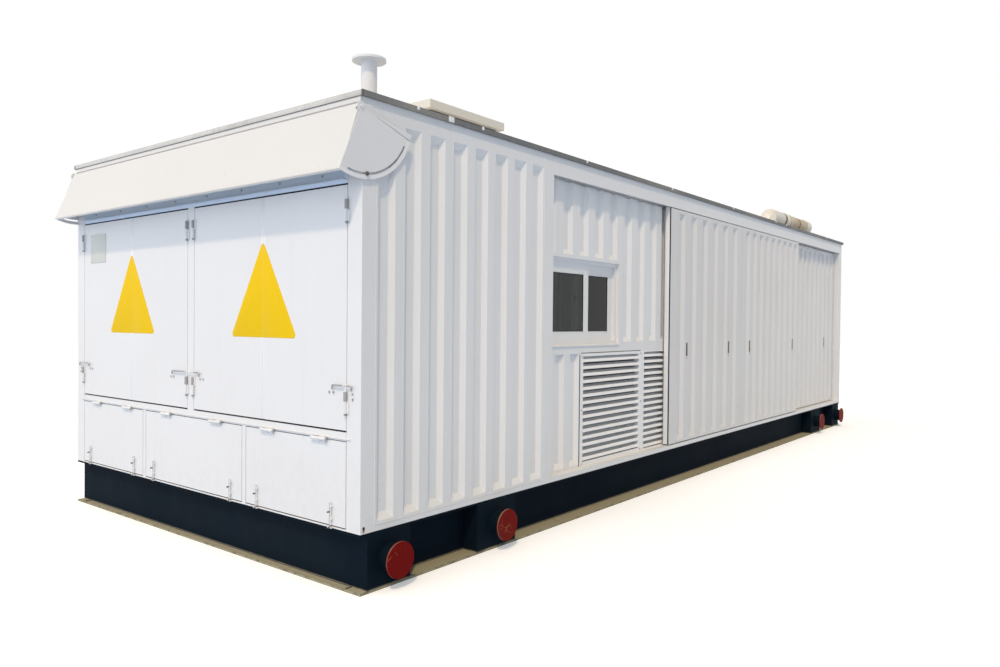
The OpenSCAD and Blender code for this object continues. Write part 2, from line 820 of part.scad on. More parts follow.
// Angle sections that wrap the roof's edges and meet in open mitre joints
module roof_trim() {
    cover = 60;
    joint = 3;
    mitre_l = 4 * cover;
    color(trim_grey) difference() {
        translate([-half_l - trim_out, -half_w - trim_out, roof_z])
            cube([body_l + 2 * trim_out, body_w + 2 * trim_out, trim_h]);
        translate([-half_l, -half_w, roof_z - cut]) cube([body_l, body_w, roof_t + cut]);
        translate([-half_l + cover, -half_w + cover, roof_z])
            cube([body_l - 2 * cover, body_w - 2 * cover, trim_h + cut]);
        for (sx = [-1, 1], sy = [-1, 1]) translate([sx * half_l, sy * half_w, roof_z - cut])
            rotate(sx * sy * 45) translate([-mitre_l / 2, -joint / 2, 0])
                cube([mitre_l, joint, trim_h + 2 * cut]);
    }
}

module vent_stack() {
    plate_t = 16;
    pipe_t = 4;
    floor_t = 30;
    color(cream) translate([fx(stack_at[0]), fy(stack_at[1]), deck])
        rotate_extrude() difference() {
            union() {
                square([stack_d / 2, stack_top - deck]);
                translate([0, stack_top - deck - plate_t])
                    square([stack_flange_d / 2, plate_t]);
            }
            translate([-cut, floor_t]) square([stack_d / 2 - pipe_t + cut, stack_top - deck]);
        }
}

// The hatch: a curb, a recessed seal on it and a lid that stands out all round
module roof_hatch() {
    curb_in = 45;
    seal_in = 62;
    seal_t = 12;
    color(cream) translate([fx(hatch_at[0]), fy(hatch_at[1]), 0]) {
        translate([curb_in, curb_in, deck])
            cube([hatch_w - 2 * curb_in, hatch_w - 2 * curb_in, lid_z - seal_t - deck]);
        translate([seal_in, seal_in, lid_z - seal_t])
            cube([hatch_w - 2 * seal_in, hatch_w - 2 * seal_in, seal_t]);
        translate([0, 0, lid_z]) cube([hatch_w, hatch_w, lid_t]);
    }
}

// The exhaust pipe: it rises from the roof through an elbow and lies along the edge. The
// lying part is turned, with necks at its joints and a tapered outlet. A capped stub
// stands on the elbow.
module exhaust_pipe() {
    r = pipe_d / 2;
    neck_r = r - 20;
    tube_r = r - 8;
    axis_z = pipe_top - r;
    bend = 150;
    len = pipe_to - pipe_from - bend;
    neck_1 = [605, 640];
    collar = 690;
    neck_2 = [1385, 1420];
    taper = 34;
    stub_r = 46;
    stub_l = 162;
    stub_turn = 225;
    color(cream) translate([fx(pipe_from), fy(pipe_y), 0]) {
        translate([0, 0, deck]) cylinder(d = pipe_d, h = axis_z - bend - deck);
        translate([bend, 0, axis_z - bend]) rotate([90, 0, 180]) rotate_extrude(angle = 90)
            translate([bend, 0]) circle(r = r);
        translate([bend, 0, axis_z]) rotate([0, 90, 0]) rotate_extrude() polygon([[0, 0],
            [r, 0], [r, neck_1[0]], [neck_r, neck_1[0]], [neck_r, neck_1[1]], [r, neck_1[1]],
            [r, collar], [tube_r, collar], [tube_r, neck_2[0]], [neck_r, neck_2[0]],
            [neck_r, neck_2[1]], [r, neck_2[1]], [r, len - taper], [r - taper, len], [0, len]]);
        translate([bend / 3, 0, axis_z - bend / 3]) rotate([0, 90, stub_turn])
            cylinder(r = stub_r, h = stub_l);
    }
}

side_beams();
end_beams();
cross_beams();
lifting_boxes();
lifting_stubs();
lifting_caps();
floor_deck();
corner_posts();
side_posts();
inner_posts();
bottom_rails();
end_sills();
front_wall();
front_top_rail();
door_tracks();
bay_upper_wall();
bay_side_wall();
window_surround();
window_frame();
window_sashes();
window_glass();
bay_band();
bay_lower_wall();
large_louvre();
small_louvre();
back_wall();
far_end_wall();
door_header();
door_centre_post();
door_mid_rail();
flap_mullions();
end_hinge_lugs();
hood_pivots();
roof_panel();
roof_trim();
vent_stack();
roof_hatch();
exhaust_pipe();
end_door_1();
end_door_2();
end_door_3();
end_door_4();
end_flap_1();
end_flap_2();
end_flap_3();
side_door_1();
side_door_2();
side_door_3();
hood_panel();
hood_side_plates();
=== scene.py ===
"""Finishes and fittings of a containerised gas generator set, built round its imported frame.

The frame holds every load-bearing piece at its real size. This script gives each of them
its finish and adds the fittings that are too fine for the frame: fasteners, weld beads,
seals, latches, plates and clips.
"""

import logging
import math
import random
from dataclasses import dataclass, field
from enum import Enum
from typing import Sequence

import bmesh
import bpy
from bpy.types import Material, Mesh, NodeSocket, NodeTree
from mathutils import Matrix, Vector


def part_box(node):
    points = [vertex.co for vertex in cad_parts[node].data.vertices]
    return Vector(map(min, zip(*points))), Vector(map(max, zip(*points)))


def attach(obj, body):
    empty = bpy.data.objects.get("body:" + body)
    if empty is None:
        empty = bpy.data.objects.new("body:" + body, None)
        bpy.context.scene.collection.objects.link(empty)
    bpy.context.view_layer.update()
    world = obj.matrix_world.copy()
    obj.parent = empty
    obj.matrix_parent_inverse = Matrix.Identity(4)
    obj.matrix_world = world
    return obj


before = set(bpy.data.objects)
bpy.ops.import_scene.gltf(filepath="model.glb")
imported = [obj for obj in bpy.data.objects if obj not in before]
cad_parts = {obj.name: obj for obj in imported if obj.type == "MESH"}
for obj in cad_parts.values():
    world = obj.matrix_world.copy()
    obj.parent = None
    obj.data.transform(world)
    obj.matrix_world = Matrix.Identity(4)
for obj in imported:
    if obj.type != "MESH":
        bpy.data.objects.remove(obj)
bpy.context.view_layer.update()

LOG = logging.getLogger("genset")
Point = tuple[float, float, float]
Flat = tuple[float, float]
Outline = tuple[Flat, ...]
Colour = tuple[float, float, float]
Facing = tuple[Point, Point]

SHARP = 0.6  # an edge that bends by more than this, in radians, is rounded
CREASE = math.radians(32.0)  # an edge that bends by more than this looks sharp
HAIR = 0.0002  # how far a fitting's back stands off the paint under it, in metres
SIDES = (-1, 1)
ALONG_X, ALONG_Y, UP = (1, 0, 0), (0, 1, 0), (0, 0, 1)
OUT_OF_END, OUT_OF_FRONT = (-1, 0, 0), (0, -1, 0)


# ------------ Node trees


class Kind(Enum):
    """The socket types that the groups here use."""

    FLOAT = "NodeSocketFloat"
    COLOUR = "NodeSocketColor"
    INT = "NodeSocketInt"
    GEOMETRY = "NodeSocketGeometry"
    MATERIAL = "NodeSocketMaterial"


class Axis(Enum):
    """The frame's axes, by index."""

    X = 0
    Y = 1
    Z = 2


@dataclass
class Graph:
    """Adds nodes to a tree and links them in one call.

    Attributes:
        tree: the node tree to add to.
    """

    tree: NodeTree

    def add(self, kind: str, settings: dict | None = None, **links: object) -> bpy.types.Node:
        """Adds a node, sets its properties and fills its inputs.

        Args:
            kind: the node's type name.
            settings: properties of the node itself.
            links: input values or sockets, by input name with spaces as underscores, or
                by index as i0, i1 and so on.

        Returns:
            The new node.
        """
        node = self.tree.nodes.new(kind)
        for name, value in (settings or {}).items():
            setattr(node, name, value)
        for name, value in links.items():
            by_index = name[0] == "i" and name[1:].isdigit()
            self.feed(node.inputs[int(name[1:]) if by_index else name.replace("_", " ")], value)
        return node

    def feed(self, socket: NodeSocket, value: object) -> None:
        """Links a socket to another, or sets its value.

        Args:
            socket: the input to feed.
            value: an output socket, or a plain value.
        """
        if isinstance(value, NodeSocket):
            self.tree.links.new(value, socket)
        else:
            socket.default_value = value

    def math(self, operation: str, a: object, b: object = 0.0, clamp: bool = False) -> object:
        """Adds a Math node and returns its output socket."""
        settings = {"operation": operation, "use_clamp": clamp}
        return self.add("ShaderNodeMath", settings, i0=a, i1=b).outputs[0]

    def noise(self, where: object, scale: float, detail: float = 3.0, rough: float = 0.5) -> object:
        """Adds a Noise Texture and returns its value, mostly 0.3 to 0.7."""
        node = self.add("ShaderNodeTexNoise", None, Vector=where, Scale=scale, Detail=detail,
                        Roughness=rough)
        return node.outputs["Fac"]

    def stretch(self, where: object, scale: Point) -> object:
        """Scales a coordinate along its axes and returns it."""
        return self.add("ShaderNodeMapping", None, Vector=where, Scale=scale).outputs["Vector"]

    def ramp(self, value: object, low: object, high: object) -> object:
        """Maps low..high to 0..1, smooth and clamped, and returns the socket."""
        node = self.add("ShaderNodeMapRange", {"interpolation_type": "SMOOTHSTEP"}, Value=value,
                        From_Min=low, From_Max=high)
        return node.outputs["Result"]

    def mix(self, share: object, a: object, b: object) -> object:
        """Mixes a share of the second colour into the first, and returns the socket."""
        node = self.add("ShaderNodeMix", {"data_type": "RGBA"}, i0=share, i6=a, i7=b)
        return node.outputs[2]


def rgba(colour: Colour) -> tuple[float, float, float, float]:
    """A colour with full alpha."""
    return (*colour, 1.0)


def new_group(name: str, inputs: Sequence[tuple], outputs: Sequence[tuple],
              kind: str = "ShaderNodeTree") -> tuple:
    """Makes an empty node group with its sockets.

    Args:
        name: the group's name.
        inputs: (name, Kind, default or None) of each input.
        outputs: (name, Kind) of each output.
        kind: the tree's type.

    Returns:
        The group, a Graph on it, what it is given by name, and the outputs to feed.
    """
    group = bpy.data.node_groups.new(name, kind)
    for label, sort, default in inputs:
        socket = group.interface.new_socket(label, in_out="INPUT", socket_type=sort.value)
        if default is not None:
            socket.default_value = default
    for label, sort in outputs:
        group.interface.new_socket(label, in_out="OUTPUT", socket_type=sort.value)
    given = group.nodes.new("NodeGroupInput").outputs
    return group, Graph(group), given, group.nodes.new("NodeGroupOutput").inputs


# ------------ Effects that several finishes share


def build_weather() -> NodeTree:
    """Dirt in soft clouds, in streaks, near the ground and on ledges.

    Returns:
        A group with a Colour and a Mask output.
    """
    group, g, given, out = new_group(
        "weathering",
        [("Colour", Kind.COLOUR, (0.8, 0.8, 0.8, 1)), ("Dirt Colour", Kind.COLOUR, (0.4, 0.36, 0.3, 1)),
         ("Clouds", Kind.FLOAT, 0.1), ("Streaks", Kind.FLOAT, 0.1), ("Low Dust", Kind.FLOAT, 0.2),
         ("Dust Top", Kind.FLOAT, 0.8), ("Ledge Dust", Kind.FLOAT, 0.3),
         ("Ledge Top", Kind.FLOAT, 9.0)],
        [("Colour", Kind.COLOUR), ("Mask", Kind.FLOAT)])
    place = g.add("ShaderNodeTexCoord")
    where = place.outputs["Object"]
    clouds = g.ramp(g.noise(where, scale=0.9, detail=5.0, rough=0.6), low=0.42, high=0.72)
    upright = g.stretch(where, (9.0, 9.0, 0.35))
    streaks = g.ramp(g.noise(upright, scale=1.6, detail=4.0, rough=0.6), low=0.52, high=0.78)
    height = g.add("ShaderNodeSeparateXYZ", None, Vector=where).outputs["Z"]
    low = g.math("SUBTRACT", 1.0, g.ramp(height, 0.0, given["Dust Top"]))
    speckle = g.ramp(g.noise(where, scale=14.0, detail=6.0, rough=0.65), low=0.35, high=0.7)
    dust = g.math("MULTIPLY", low, g.math("ADD", speckle, 0.35))
    upward = g.add("ShaderNodeSeparateXYZ", None, Vector=place.outputs["Normal"]).outputs["Z"]
    patches = g.math("MULTIPLY", g.noise(where, scale=5.0, detail=6.0, rough=0.7), 0.9)
    patches = g.math("ADD", patches, 0.25)
    ledge = g.math("MULTIPLY", g.ramp(upward, low=0.25, high=0.75), patches)
    above = g.ramp(height, given["Ledge Top"], g.math("ADD", given["Ledge Top"], 0.02))
    ledge = g.math("MULTIPLY", ledge, g.math("SUBTRACT", 1.0, above))
    mask = g.math("MULTIPLY", clouds, given["Clouds"])
    for part, share in ((streaks, "Streaks"), (dust, "Low Dust"), (ledge, "Ledge Dust")):
        mask = g.math("ADD", mask, g.math("MULTIPLY", part, given[share]), clamp=True)
    g.feed(out["Colour"], g.mix(mask, given["Colour"], given["Dirt Colour"]))
    g.feed(out["Mask"], mask)
    return group


def build_grain() -> NodeTree:
    """The fine unevenness of sprayed paint over rolled sheet.

    Returns:
        A group with a Height output for a Bump node and a Roughness output.
    """
    group, g, given, out = new_group(
        "spray_grain",
        [("Roughness", Kind.FLOAT, 0.4), ("Spread", Kind.FLOAT, 0.08), ("Peel", Kind.FLOAT, 0.3),
         ("Waves", Kind.FLOAT, 0.7)],
        [("Height", Kind.FLOAT), ("Roughness", Kind.FLOAT)])
    where = g.add("ShaderNodeTexCoord").outputs["Object"]
    peel = g.math("MULTIPLY", g.noise(where, scale=160.0, detail=2.0), given["Peel"])
    tall = g.stretch(where, (1.0, 1.0, 0.5))
    waves = g.math("MULTIPLY", g.noise(tall, scale=2.3, detail=2.0), given["Waves"])
    g.feed(out["Height"], g.math("ADD", peel, waves))
    patch = g.math("SUBTRACT", g.noise(where, scale=3.1, detail=4.0, rough=0.6), 0.5)
    shift = g.math("MULTIPLY", patch, given["Spread"])
    g.feed(out["Roughness"], g.math("ADD", given["Roughness"], shift, clamp=True))
    return group


def build_scuffs() -> NodeTree:
    """Scratches and chips through to another colour.

    Returns:
        A group with a Colour and a Mask output.
    """
    group, g, given, out = new_group(
        "scuffs",
        [("Colour", Kind.COLOUR, (0.5, 0.5, 0.5, 1)), ("Under Colour", Kind.COLOUR, (0.2, 0.2, 0.2, 1)),
         ("Amount", Kind.FLOAT, 0.5), ("Scale", Kind.FLOAT, 9.0)],
        [("Colour", Kind.COLOUR), ("Mask", Kind.FLOAT)])
    where = g.add("ShaderNodeTexCoord").outputs["Object"]
    bent = g.add("ShaderNodeTexNoise", None, Vector=where, Scale=6.0)
    moved = g.add("ShaderNodeVectorMath", {"operation": "ADD"}, i0=where, i1=bent.outputs["Color"])
    cells = g.add("ShaderNodeTexVoronoi", {"feature": "DISTANCE_TO_EDGE"}, Vector=moved.outputs[0],
                  Scale=given["Scale"])
    line = g.math("SUBTRACT", 1.0, g.ramp(cells.outputs["Distance"], low=0.0, high=0.035))
    gate = g.ramp(g.noise(where, scale=5.0, detail=3.0), low=0.5, high=0.62)
    chips = g.ramp(g.noise(where, scale=42.0, detail=5.0, rough=0.7), low=0.66, high=0.72)
    marks = g.math("MAXIMUM", g.math("MULTIPLY", line, gate), chips)
    mask = g.math("MULTIPLY", marks, given["Amount"], clamp=True)
    g.feed(out["Colour"], g.mix(mask, given["Colour"], given["Under Colour"]))
    g.feed(out["Mask"], mask)
    return group


def build_rust() -> NodeTree:
    """Small rust spots with a short run below each.

    Returns:
        A group with a Colour and a Mask output.
    """
    group, g, given, out = new_group(
        "rust_spots",
        [("Colour", Kind.COLOUR, (0.8, 0.8, 0.8, 1)), ("Amount", Kind.FLOAT, 0.3)],
        [("Colour", Kind.COLOUR), ("Mask", Kind.FLOAT)])
    where = g.add("ShaderNodeTexCoord").outputs["Object"]
    region = g.ramp(g.noise(where, scale=1.7, detail=2.0), low=0.52, high=0.66)
    spots = g.ramp(g.noise(where, scale=34.0, detail=2.0), low=0.70, high=0.76)
    drawn = g.stretch(where, (1.0, 1.0, 0.12))
    runs = g.ramp(g.noise(drawn, scale=34.0, detail=2.0), low=0.72, high=0.80)
    both = g.math("MAXIMUM", spots, g.math("MULTIPLY", runs, 0.45))
    mask = g.math("MULTIPLY", g.math("MULTIPLY", both, region), given["Amount"], clamp=True)
    g.feed(out["Colour"], g.mix(mask, given["Colour"], (0.24, 0.11, 0.045, 1)))
    g.feed(out["Mask"], mask)
    return group


@dataclass(frozen=True)
class Effects:
    """The shader groups that more than one material uses."""

    weather: NodeTree = field(default_factory=build_weather)
    grain: NodeTree = field(default_factory=build_grain)
    scuffs: NodeTree = field(default_factory=build_scuffs)
    rust: NodeTree = field(default_factory=build_rust)


# ------------ Finishes


@dataclass(frozen=True)
class Paint:
    """A sprayed, plated or moulded finish with its own weathering.

    Attributes:
        name, slot: the material's name, and the record's slot that it belongs to, if any; the slot is not
            used.
        colour, dirt: base colour, and that of what settles on it.
        rough, spread: mean roughness, and how much it varies.
        metallic, gloss: 0 on paint to 1 on bare metal, and the specular level.
        clouds, streaks: how much soft dirt lies on it, and how much runs down it.
        low_dust, dust_top: how much dust lies near the ground, and the height where it ends.
        ledge_dust, ledge_top: how much lies on faces that look up, and up to which height.
        under, scuffs, scuff_scale: colour, strength and closeness of its scratches.
        rust: how strongly rust spots show.
        bump: depth of the waves and of the grain together, in metres.
        peel, waves: shares of the fine grain and of the sheet's waves in the bump.
    """

    name: str
    slot: str | None
    colour: Colour
    dirt: Colour = (0.44, 0.39, 0.31)
    rough: float = 0.42
    spread: float = 0.12
    metallic: float = 0.0
    gloss: float = 0.5
    clouds: float = 0.05
    streaks: float = 0.05
    low_dust: float = 0.0
    dust_top: float = 0.9
    ledge_dust: float = 0.2
    ledge_top: float = 9.0
    under: Colour = (0.30, 0.29, 0.28)
    scuffs: float = 0.0
    scuff_scale: float = 9.0
    rust: float = 0.0
    bump: float = 0.0012
    peel: float = 0.12
    waves: float = 0.8

    def build(self, effects: Effects) -> Material:
        """Makes the material.

        Args:
            effects: the shared shader groups.

        Returns:
            The new material.
        """
        material = bpy.data.materials.new(self.name)
        material.use_nodes = True
        material.diffuse_color = rgba(self.colour)
        g = Graph(material.node_tree)
        shader = material.node_tree.nodes["Principled BSDF"]
        weather = g.add("ShaderNodeGroup", {"node_tree": effects.weather}, Colour=rgba(self.colour),
                        Dirt_Colour=rgba(self.dirt), Clouds=self.clouds, Streaks=self.streaks,
                        Low_Dust=self.low_dust, Dust_Top=self.dust_top,
                        Ledge_Dust=self.ledge_dust, Ledge_Top=self.ledge_top)
        colour = weather.outputs["Colour"]
        if self.scuffs > 0:
            worn = g.add("ShaderNodeGroup", {"node_tree": effects.scuffs}, Colour=colour,
                         Under_Colour=rgba(self.under), Amount=self.scuffs, Scale=self.scuff_scale)
            colour = worn.outputs["Colour"]
        if self.rust > 0:
            rusty = g.add("ShaderNodeGroup", {"node_tree": effects.rust}, Colour=colour,
                          Amount=self.rust)
            colour = rusty.outputs["Colour"]
        grain = g.add("ShaderNodeGroup", {"node_tree": effects.grain}, Roughness=self.rough,
                      Spread=self.spread, Peel=self.peel, Waves=self.waves)
        bump = g.add("ShaderNodeBump", None, Height=grain.outputs["Height"], Strength=1.0,
                     Distance=self.bump)
        g.feed(shader.inputs["Base Color"], colour)
        g.feed(shader.inputs["Roughness"], grain.outputs["Roughness"])
        g.feed(shader.inputs["Normal"], bump.outputs["Normal"])
        shader.inputs["Metallic"].default_value = self.metallic
        shader.inputs["Specular IOR Level"].default_value = self.gloss
        return material


@dataclass(frozen=True)
class Pane:
    """A sheet of tinted glass.

    Attributes:
        name, slot: the material's name, and the record's slot that it belongs to; the slot is not used.
        tint, film: colours of the glass and of the dust on it.
        rear_from: where the rear pane starts along X; from there a painted shade darkens the glass.
        rear_shade: how much of its colour the rear pane keeps under that painted shade.
        rough, clear, ior, gloss: roughness, share of light let through, index of refraction
            and specular level.
    """

    name: str
    slot: str | None
    tint: Colour
    rear_from: float = -2.64
    rear_shade: float = 0.30
    film: Colour = (0.55, 0.56, 0.54)
    rough: float = 0.02
    clear: float = 0.92
    ior: float = 1.33
    gloss: float = 0.05

    def build(self, effects: Effects) -> Material:
        """Makes the material, with a light film of dust on the glass and a painted shade on the rear
        pane.

        Args:
            effects: the shared shader groups.

        Returns:
            The new material.
        """
        material = bpy.data.materials.new(self.name)
        material.use_nodes = True
        shader = material.node_tree.nodes["Principled BSDF"]
        g = Graph(material.node_tree)
        grain = g.add("ShaderNodeGroup", {"node_tree": effects.grain}, Roughness=self.rough,
                      Spread=0.05, Peel=0.0, Waves=1.0)
        weather = g.add("ShaderNodeGroup", {"node_tree": effects.weather}, Colour=rgba(self.tint),
                        Dirt_Colour=rgba(self.film), Clouds=0.08, Streaks=0.30, Low_Dust=0.0)
        bump = g.add("ShaderNodeBump", None, Height=grain.outputs["Height"], Strength=0.4,
                     Distance=0.002)
        # Painted shade: the glass's colour is scaled down behind the rear sash, for the dark room seen
        # through it.
        place = g.add("ShaderNodeTexCoord")
        split = g.add("ShaderNodeSeparateXYZ", None, Vector=place.outputs["Object"])
        rear = g.add("ShaderNodeMapRange", None, Value=split.outputs["X"], From_Min=self.rear_from,
                     From_Max=self.rear_from + 0.01, To_Min=1.0, To_Max=self.rear_shade)
        darker = g.add("ShaderNodeVectorMath", {"operation": "SCALE"}, i0=weather.outputs["Colour"],
                       Scale=rear.outputs["Result"])
        g.feed(shader.inputs["Base Color"], darker.outputs["Vector"])
        g.feed(shader.inputs["Roughness"], grain.outputs["Roughness"])
        g.feed(shader.inputs["Normal"], bump.outputs["Normal"])
        shader.inputs["Transmission Weight"].default_value = self.clear
        shader.inputs["IOR"].default_value = self.ior
        shader.inputs["Specular IOR Level"].default_value = self.gloss
        return material


WHITE = (0.80, 0.80, 0.80)
CREAM = (0.715, 0.70, 0.67)
DUST = (0.375, 0.34, 0.235)
# Near-black with a little blue: the rubber's colour, and also the painted shade of the lines that seals
# draw in gaps.
SEAL_AND_SHADE_BLACK = (0.010, 0.012, 0.018)

FINISHES: dict[str, Paint | Pane] = {
    "container": Paint("container_white", "container_paint", WHITE, low_dust=0.10, dust_top=1.3),
    "panel": Paint("pressed_panel_white", "container_paint", WHITE, low_dust=0.10, dust_top=1.2,
                   streaks=0.08, ledge_dust=0.12, rust=0.25),
    # Painted shade: a blue-white that puts the blue shade under the hood into the header's own colour.
    "header": Paint("header_blue_painted_shade", "container_paint", (0.74, 0.83, 0.94), low_dust=0.0,
                    ledge_dust=0.1),
    "leaf": Paint("sliding_leaf_white", "container_paint", (0.70, 0.695, 0.69), low_dust=0.08,
                  dust_top=1.2, streaks=0.10, ledge_dust=0.12, rust=0.25),
    "strip": Paint("strip_bright_white", "container_paint", (0.86, 0.86, 0.86), clouds=0.03,
                   waves=0.2),
    # Painted light: a brighter white than the walls, standing in for sunlight on the blades' faces.
    "blade": Paint("louvre_white_painted_light", "container_paint", (0.88, 0.88, 0.88), clouds=0.02, streaks=0.03,
                   ledge_dust=0.0, waves=0.2),
    "sash_bead": Paint("sash_bead_white", None, (0.78, 0.78, 0.78), clouds=0.03, waves=0.1),
    # Partly painted shade: this dark brown fills the pipe's necks, whose recesses are in shade, and the
    # darker bands beside them.
    "scorched": Paint("neck_shade_and_dark_band_brown", None, (0.16, 0.115, 0.075), clouds=0.4, rough=0.65, gloss=0.2,
                      rust=0.6),
    "heated": Paint("heated_cream", None, (0.66, 0.56, 0.40), dirt=(0.20, 0.14, 0.08), clouds=0.6,
                    streaks=0.3, rough=0.6, rust=0.5),
    "facing": Paint("facing_pale", None, (0.66, 0.64, 0.60), dirt=(0.33, 0.32, 0.29), clouds=0.55,
                    streaks=0.35, waves=0.2),
    "hood": Paint("hood_cream", "hood_paint", CREAM, clouds=0.03, streaks=0.03, rough=0.38, rust=0.35),
    "roof": Paint("roof_cream", "roof_paint", (0.78, 0.75, 0.67), dirt=(0.45, 0.40, 0.30),
                  clouds=0.25, streaks=0.12, rough=0.5, rust=0.4),
    "skid": Paint("skid_blue_black", "skid_paint", (0.0035, 0.0090, 0.0165), dirt=DUST, clouds=0.006,
                  streaks=0.004, low_dust=1.8, dust_top=0.03, ledge_dust=0.9, ledge_top=0.03,
                  rough=0.7, spread=0.2, gloss=0.04, under=(0.05, 0.055, 0.06), scuffs=0.1,
                  peel=0.3),
    "cap": Paint("cap_red", "cap_paint", (0.155, 0.0015, 0.0005), dirt=DUST, clouds=0.03, streaks=0.02,
                 ledge_dust=0.3, rough=0.6, gloss=0.08, under=(0.42, 0.28, 0.10), scuffs=0.5,
                 scuff_scale=4.0),
    "cap_rim": Paint("cap_rim_worn", "cap_paint", (0.20, 0.025, 0.018), dirt=DUST, clouds=0.5, rough=0.6,
                     gloss=0.2, scuffs=0.8),
    "rust": Paint("rust_run", None, (0.33, 0.16, 0.07), rough=0.8, gloss=0.1, clouds=0.4),
    "trim": Paint("trim_weathered", "trim_steel", (0.145, 0.148, 0.152), dirt=(0.36, 0.34, 0.30),
                  clouds=0.5, streaks=0.3, ledge_dust=0.5, rough=0.62, spread=0.2),
    # Painted light: a lighter, bluer zinc than bare steel, which lifts the deep shade on the tracks under
    # the rail.
    "bare": Paint("galvanised_painted_light", "bare_steel", (0.76, 0.79, 0.84), dirt=(0.25, 0.22, 0.19),
                  clouds=0.2, rough=0.42, spread=0.25, metallic=1.0),
    "deck": Paint("floor_plate_grey", "deck_steel", (0.20, 0.21, 0.22), clouds=0.3, rough=0.6),
    "glass": Pane("window_glass_tinted", "window_glass", (0.13, 0.16, 0.14)),
    # Partly painted shade: as well as rubber, this black draws the shade lines behind the hood's lip and
    # under the hatch's lid.
    "seal": Paint("seal_rubber_and_shade_line_black", None, SEAL_AND_SHADE_BLACK, rough=0.75, gloss=0.25, clouds=0.1,
                  low_dust=0.05, ledge_dust=0.2, peel=0.5),
    "pale_seal": Paint("seal_rubber_pale", None, (0.55, 0.55, 0.56), rough=0.7, gloss=0.3,
                       clouds=0.1, peel=0.4),
    "plate": Paint("plate_yellow", None, (0.90, 0.585, 0.004), dirt=(0.5, 0.42, 0.25), rough=0.5,
                   gloss=0.12, clouds=0.02, streaks=0.02, waves=0.3),
    "tag": Paint("tag_grey_green", None, (0.60, 0.63, 0.58), rough=0.35, clouds=0.12, waves=0.2),
    "latch": Paint("latch_grey", None, (0.34, 0.34, 0.35), rough=0.45, clouds=0.3, spread=0.2,
                   rust=0.5, waves=0.1),
    "dark": Paint("iron_dark", None, (0.05, 0.05, 0.052), rough=0.55, clouds=0.2, spread=0.2,
                  waves=0.1),
    "pull": Paint("pull_black", None, (0.03, 0.031, 0.034), rough=0.5, gloss=0.3, clouds=0.1,
                  waves=0.1),
    "screw": Paint("screw_zinc", "bare_steel", (0.50, 0.50, 0.49), rough=0.38, spread=0.25,
                   metallic=0.9, clouds=0.3, rust=0.6, waves=0.1),
    "weld": Paint("weld_white", "container_paint", (0.76, 0.76, 0.755), rough=0.5, clouds=0.15,
                  ledge_dust=0.3, peel=0.8, waves=0.2),
    "weld_dark": Paint("weld_blue_black", "skid_paint", (0.008, 0.013, 0.022), dirt=DUST, rough=0.55,
                       gloss=0.25, clouds=0.05, ledge_dust=0.5, peel=0.8, waves=0.2),
}

FINISH_NODES: dict[str, str] = {
    "skid": "side_beams end_beams cross_beams lifting_boxes lifting_stubs", "cap": "lifting_caps",
    "deck": "floor_deck", "bare": "door_tracks", "glass": "window_glass", "trim": "roof_trim",
    "hood": "hood_panel", "roof": "roof_hatch exhaust_pipe", "header": "door_header",
    "panel": "front_wall back_wall far_end_wall bay_upper_wall bay_side_wall bay_lower_wall",
    "leaf": "side_door_1 side_door_2 side_door_3", "blade": "large_louvre small_louvre",
}


# ------------ Shapes


def rounded(corners: Sequence[Flat], radius: float, steps: int = 5) -> list[Flat]:
    """A polygon with its corners rounded.

    Args:
        corners: the sharp corners, in order.
        radius: the fillet's radius.
        steps: straight pieces in each fillet.

    Returns:
        The rounded outline's points.
    """
    points = []
    count = len(corners)
    for i, corner in enumerate(corners):
        here = Vector(corner)
        before = (Vector(corners[i - 1]) - here).normalized()
        after = (Vector(corners[(i + 1) % count]) - here).normalized()
        half = before.angle(after) / 2
        centre = here + (before + after).normalized() * (radius / math.sin(half))
        start = here + before * (radius / math.tan(half)) - centre
        end = here + after * (radius / math.tan(half)) - centre
        for k in range(steps + 1):
            t = k / steps
            spoke = start.lerp(end, t).normalized() * radius
            points.append(tuple(centre + spoke))
    return points


def ring(count: int, radius: float, start: float = 0.0) -> list[Flat]:
    """Points evenly spaced round a circle."""
    return [(radius * math.cos(start + math.tau * i / count),
             radius * math.sin(start + math.tau * i / count)) for i in range(count)]


def between(first: float, last: float, count: int) -> list[float]:
    """Evenly spaced values from first to last, both included."""
    return [first + (last - first) * i / (count - 1) for i in range(count)]


def spaced(low: float, high: float, pitch: float) -> list[float]:
    """Values about a pitch apart, with half a pitch left at each end."""
    count = max(1, round((high - low) / pitch))
    return [low + (high - low) * (i + 0.5) / count for i in range(count)]


def hoop(low: Flat, high: Flat, side: float, foot: float, head: float) -> list[tuple[Flat, Flat]]:
    """The four bars of a rectangular ring: its foot, its head, and the sides between them.

    Args:
        low: the ring's lowest outer corner.
        high: its highest outer corner.
        side: width of the two side bars.
        foot: width of the first bar.
        head: width of the last bar.

    Returns:
        The low and high corner of each bar.
    """
    return [(low, (high[0], low[1] + foot)), ((low[0], high[1] - head), high),
            ((low[0], low[1] + foot), (low[0] + side, high[1] - head)),
            ((high[0] - side, low[1] + foot), (high[0], high[1] - head))]


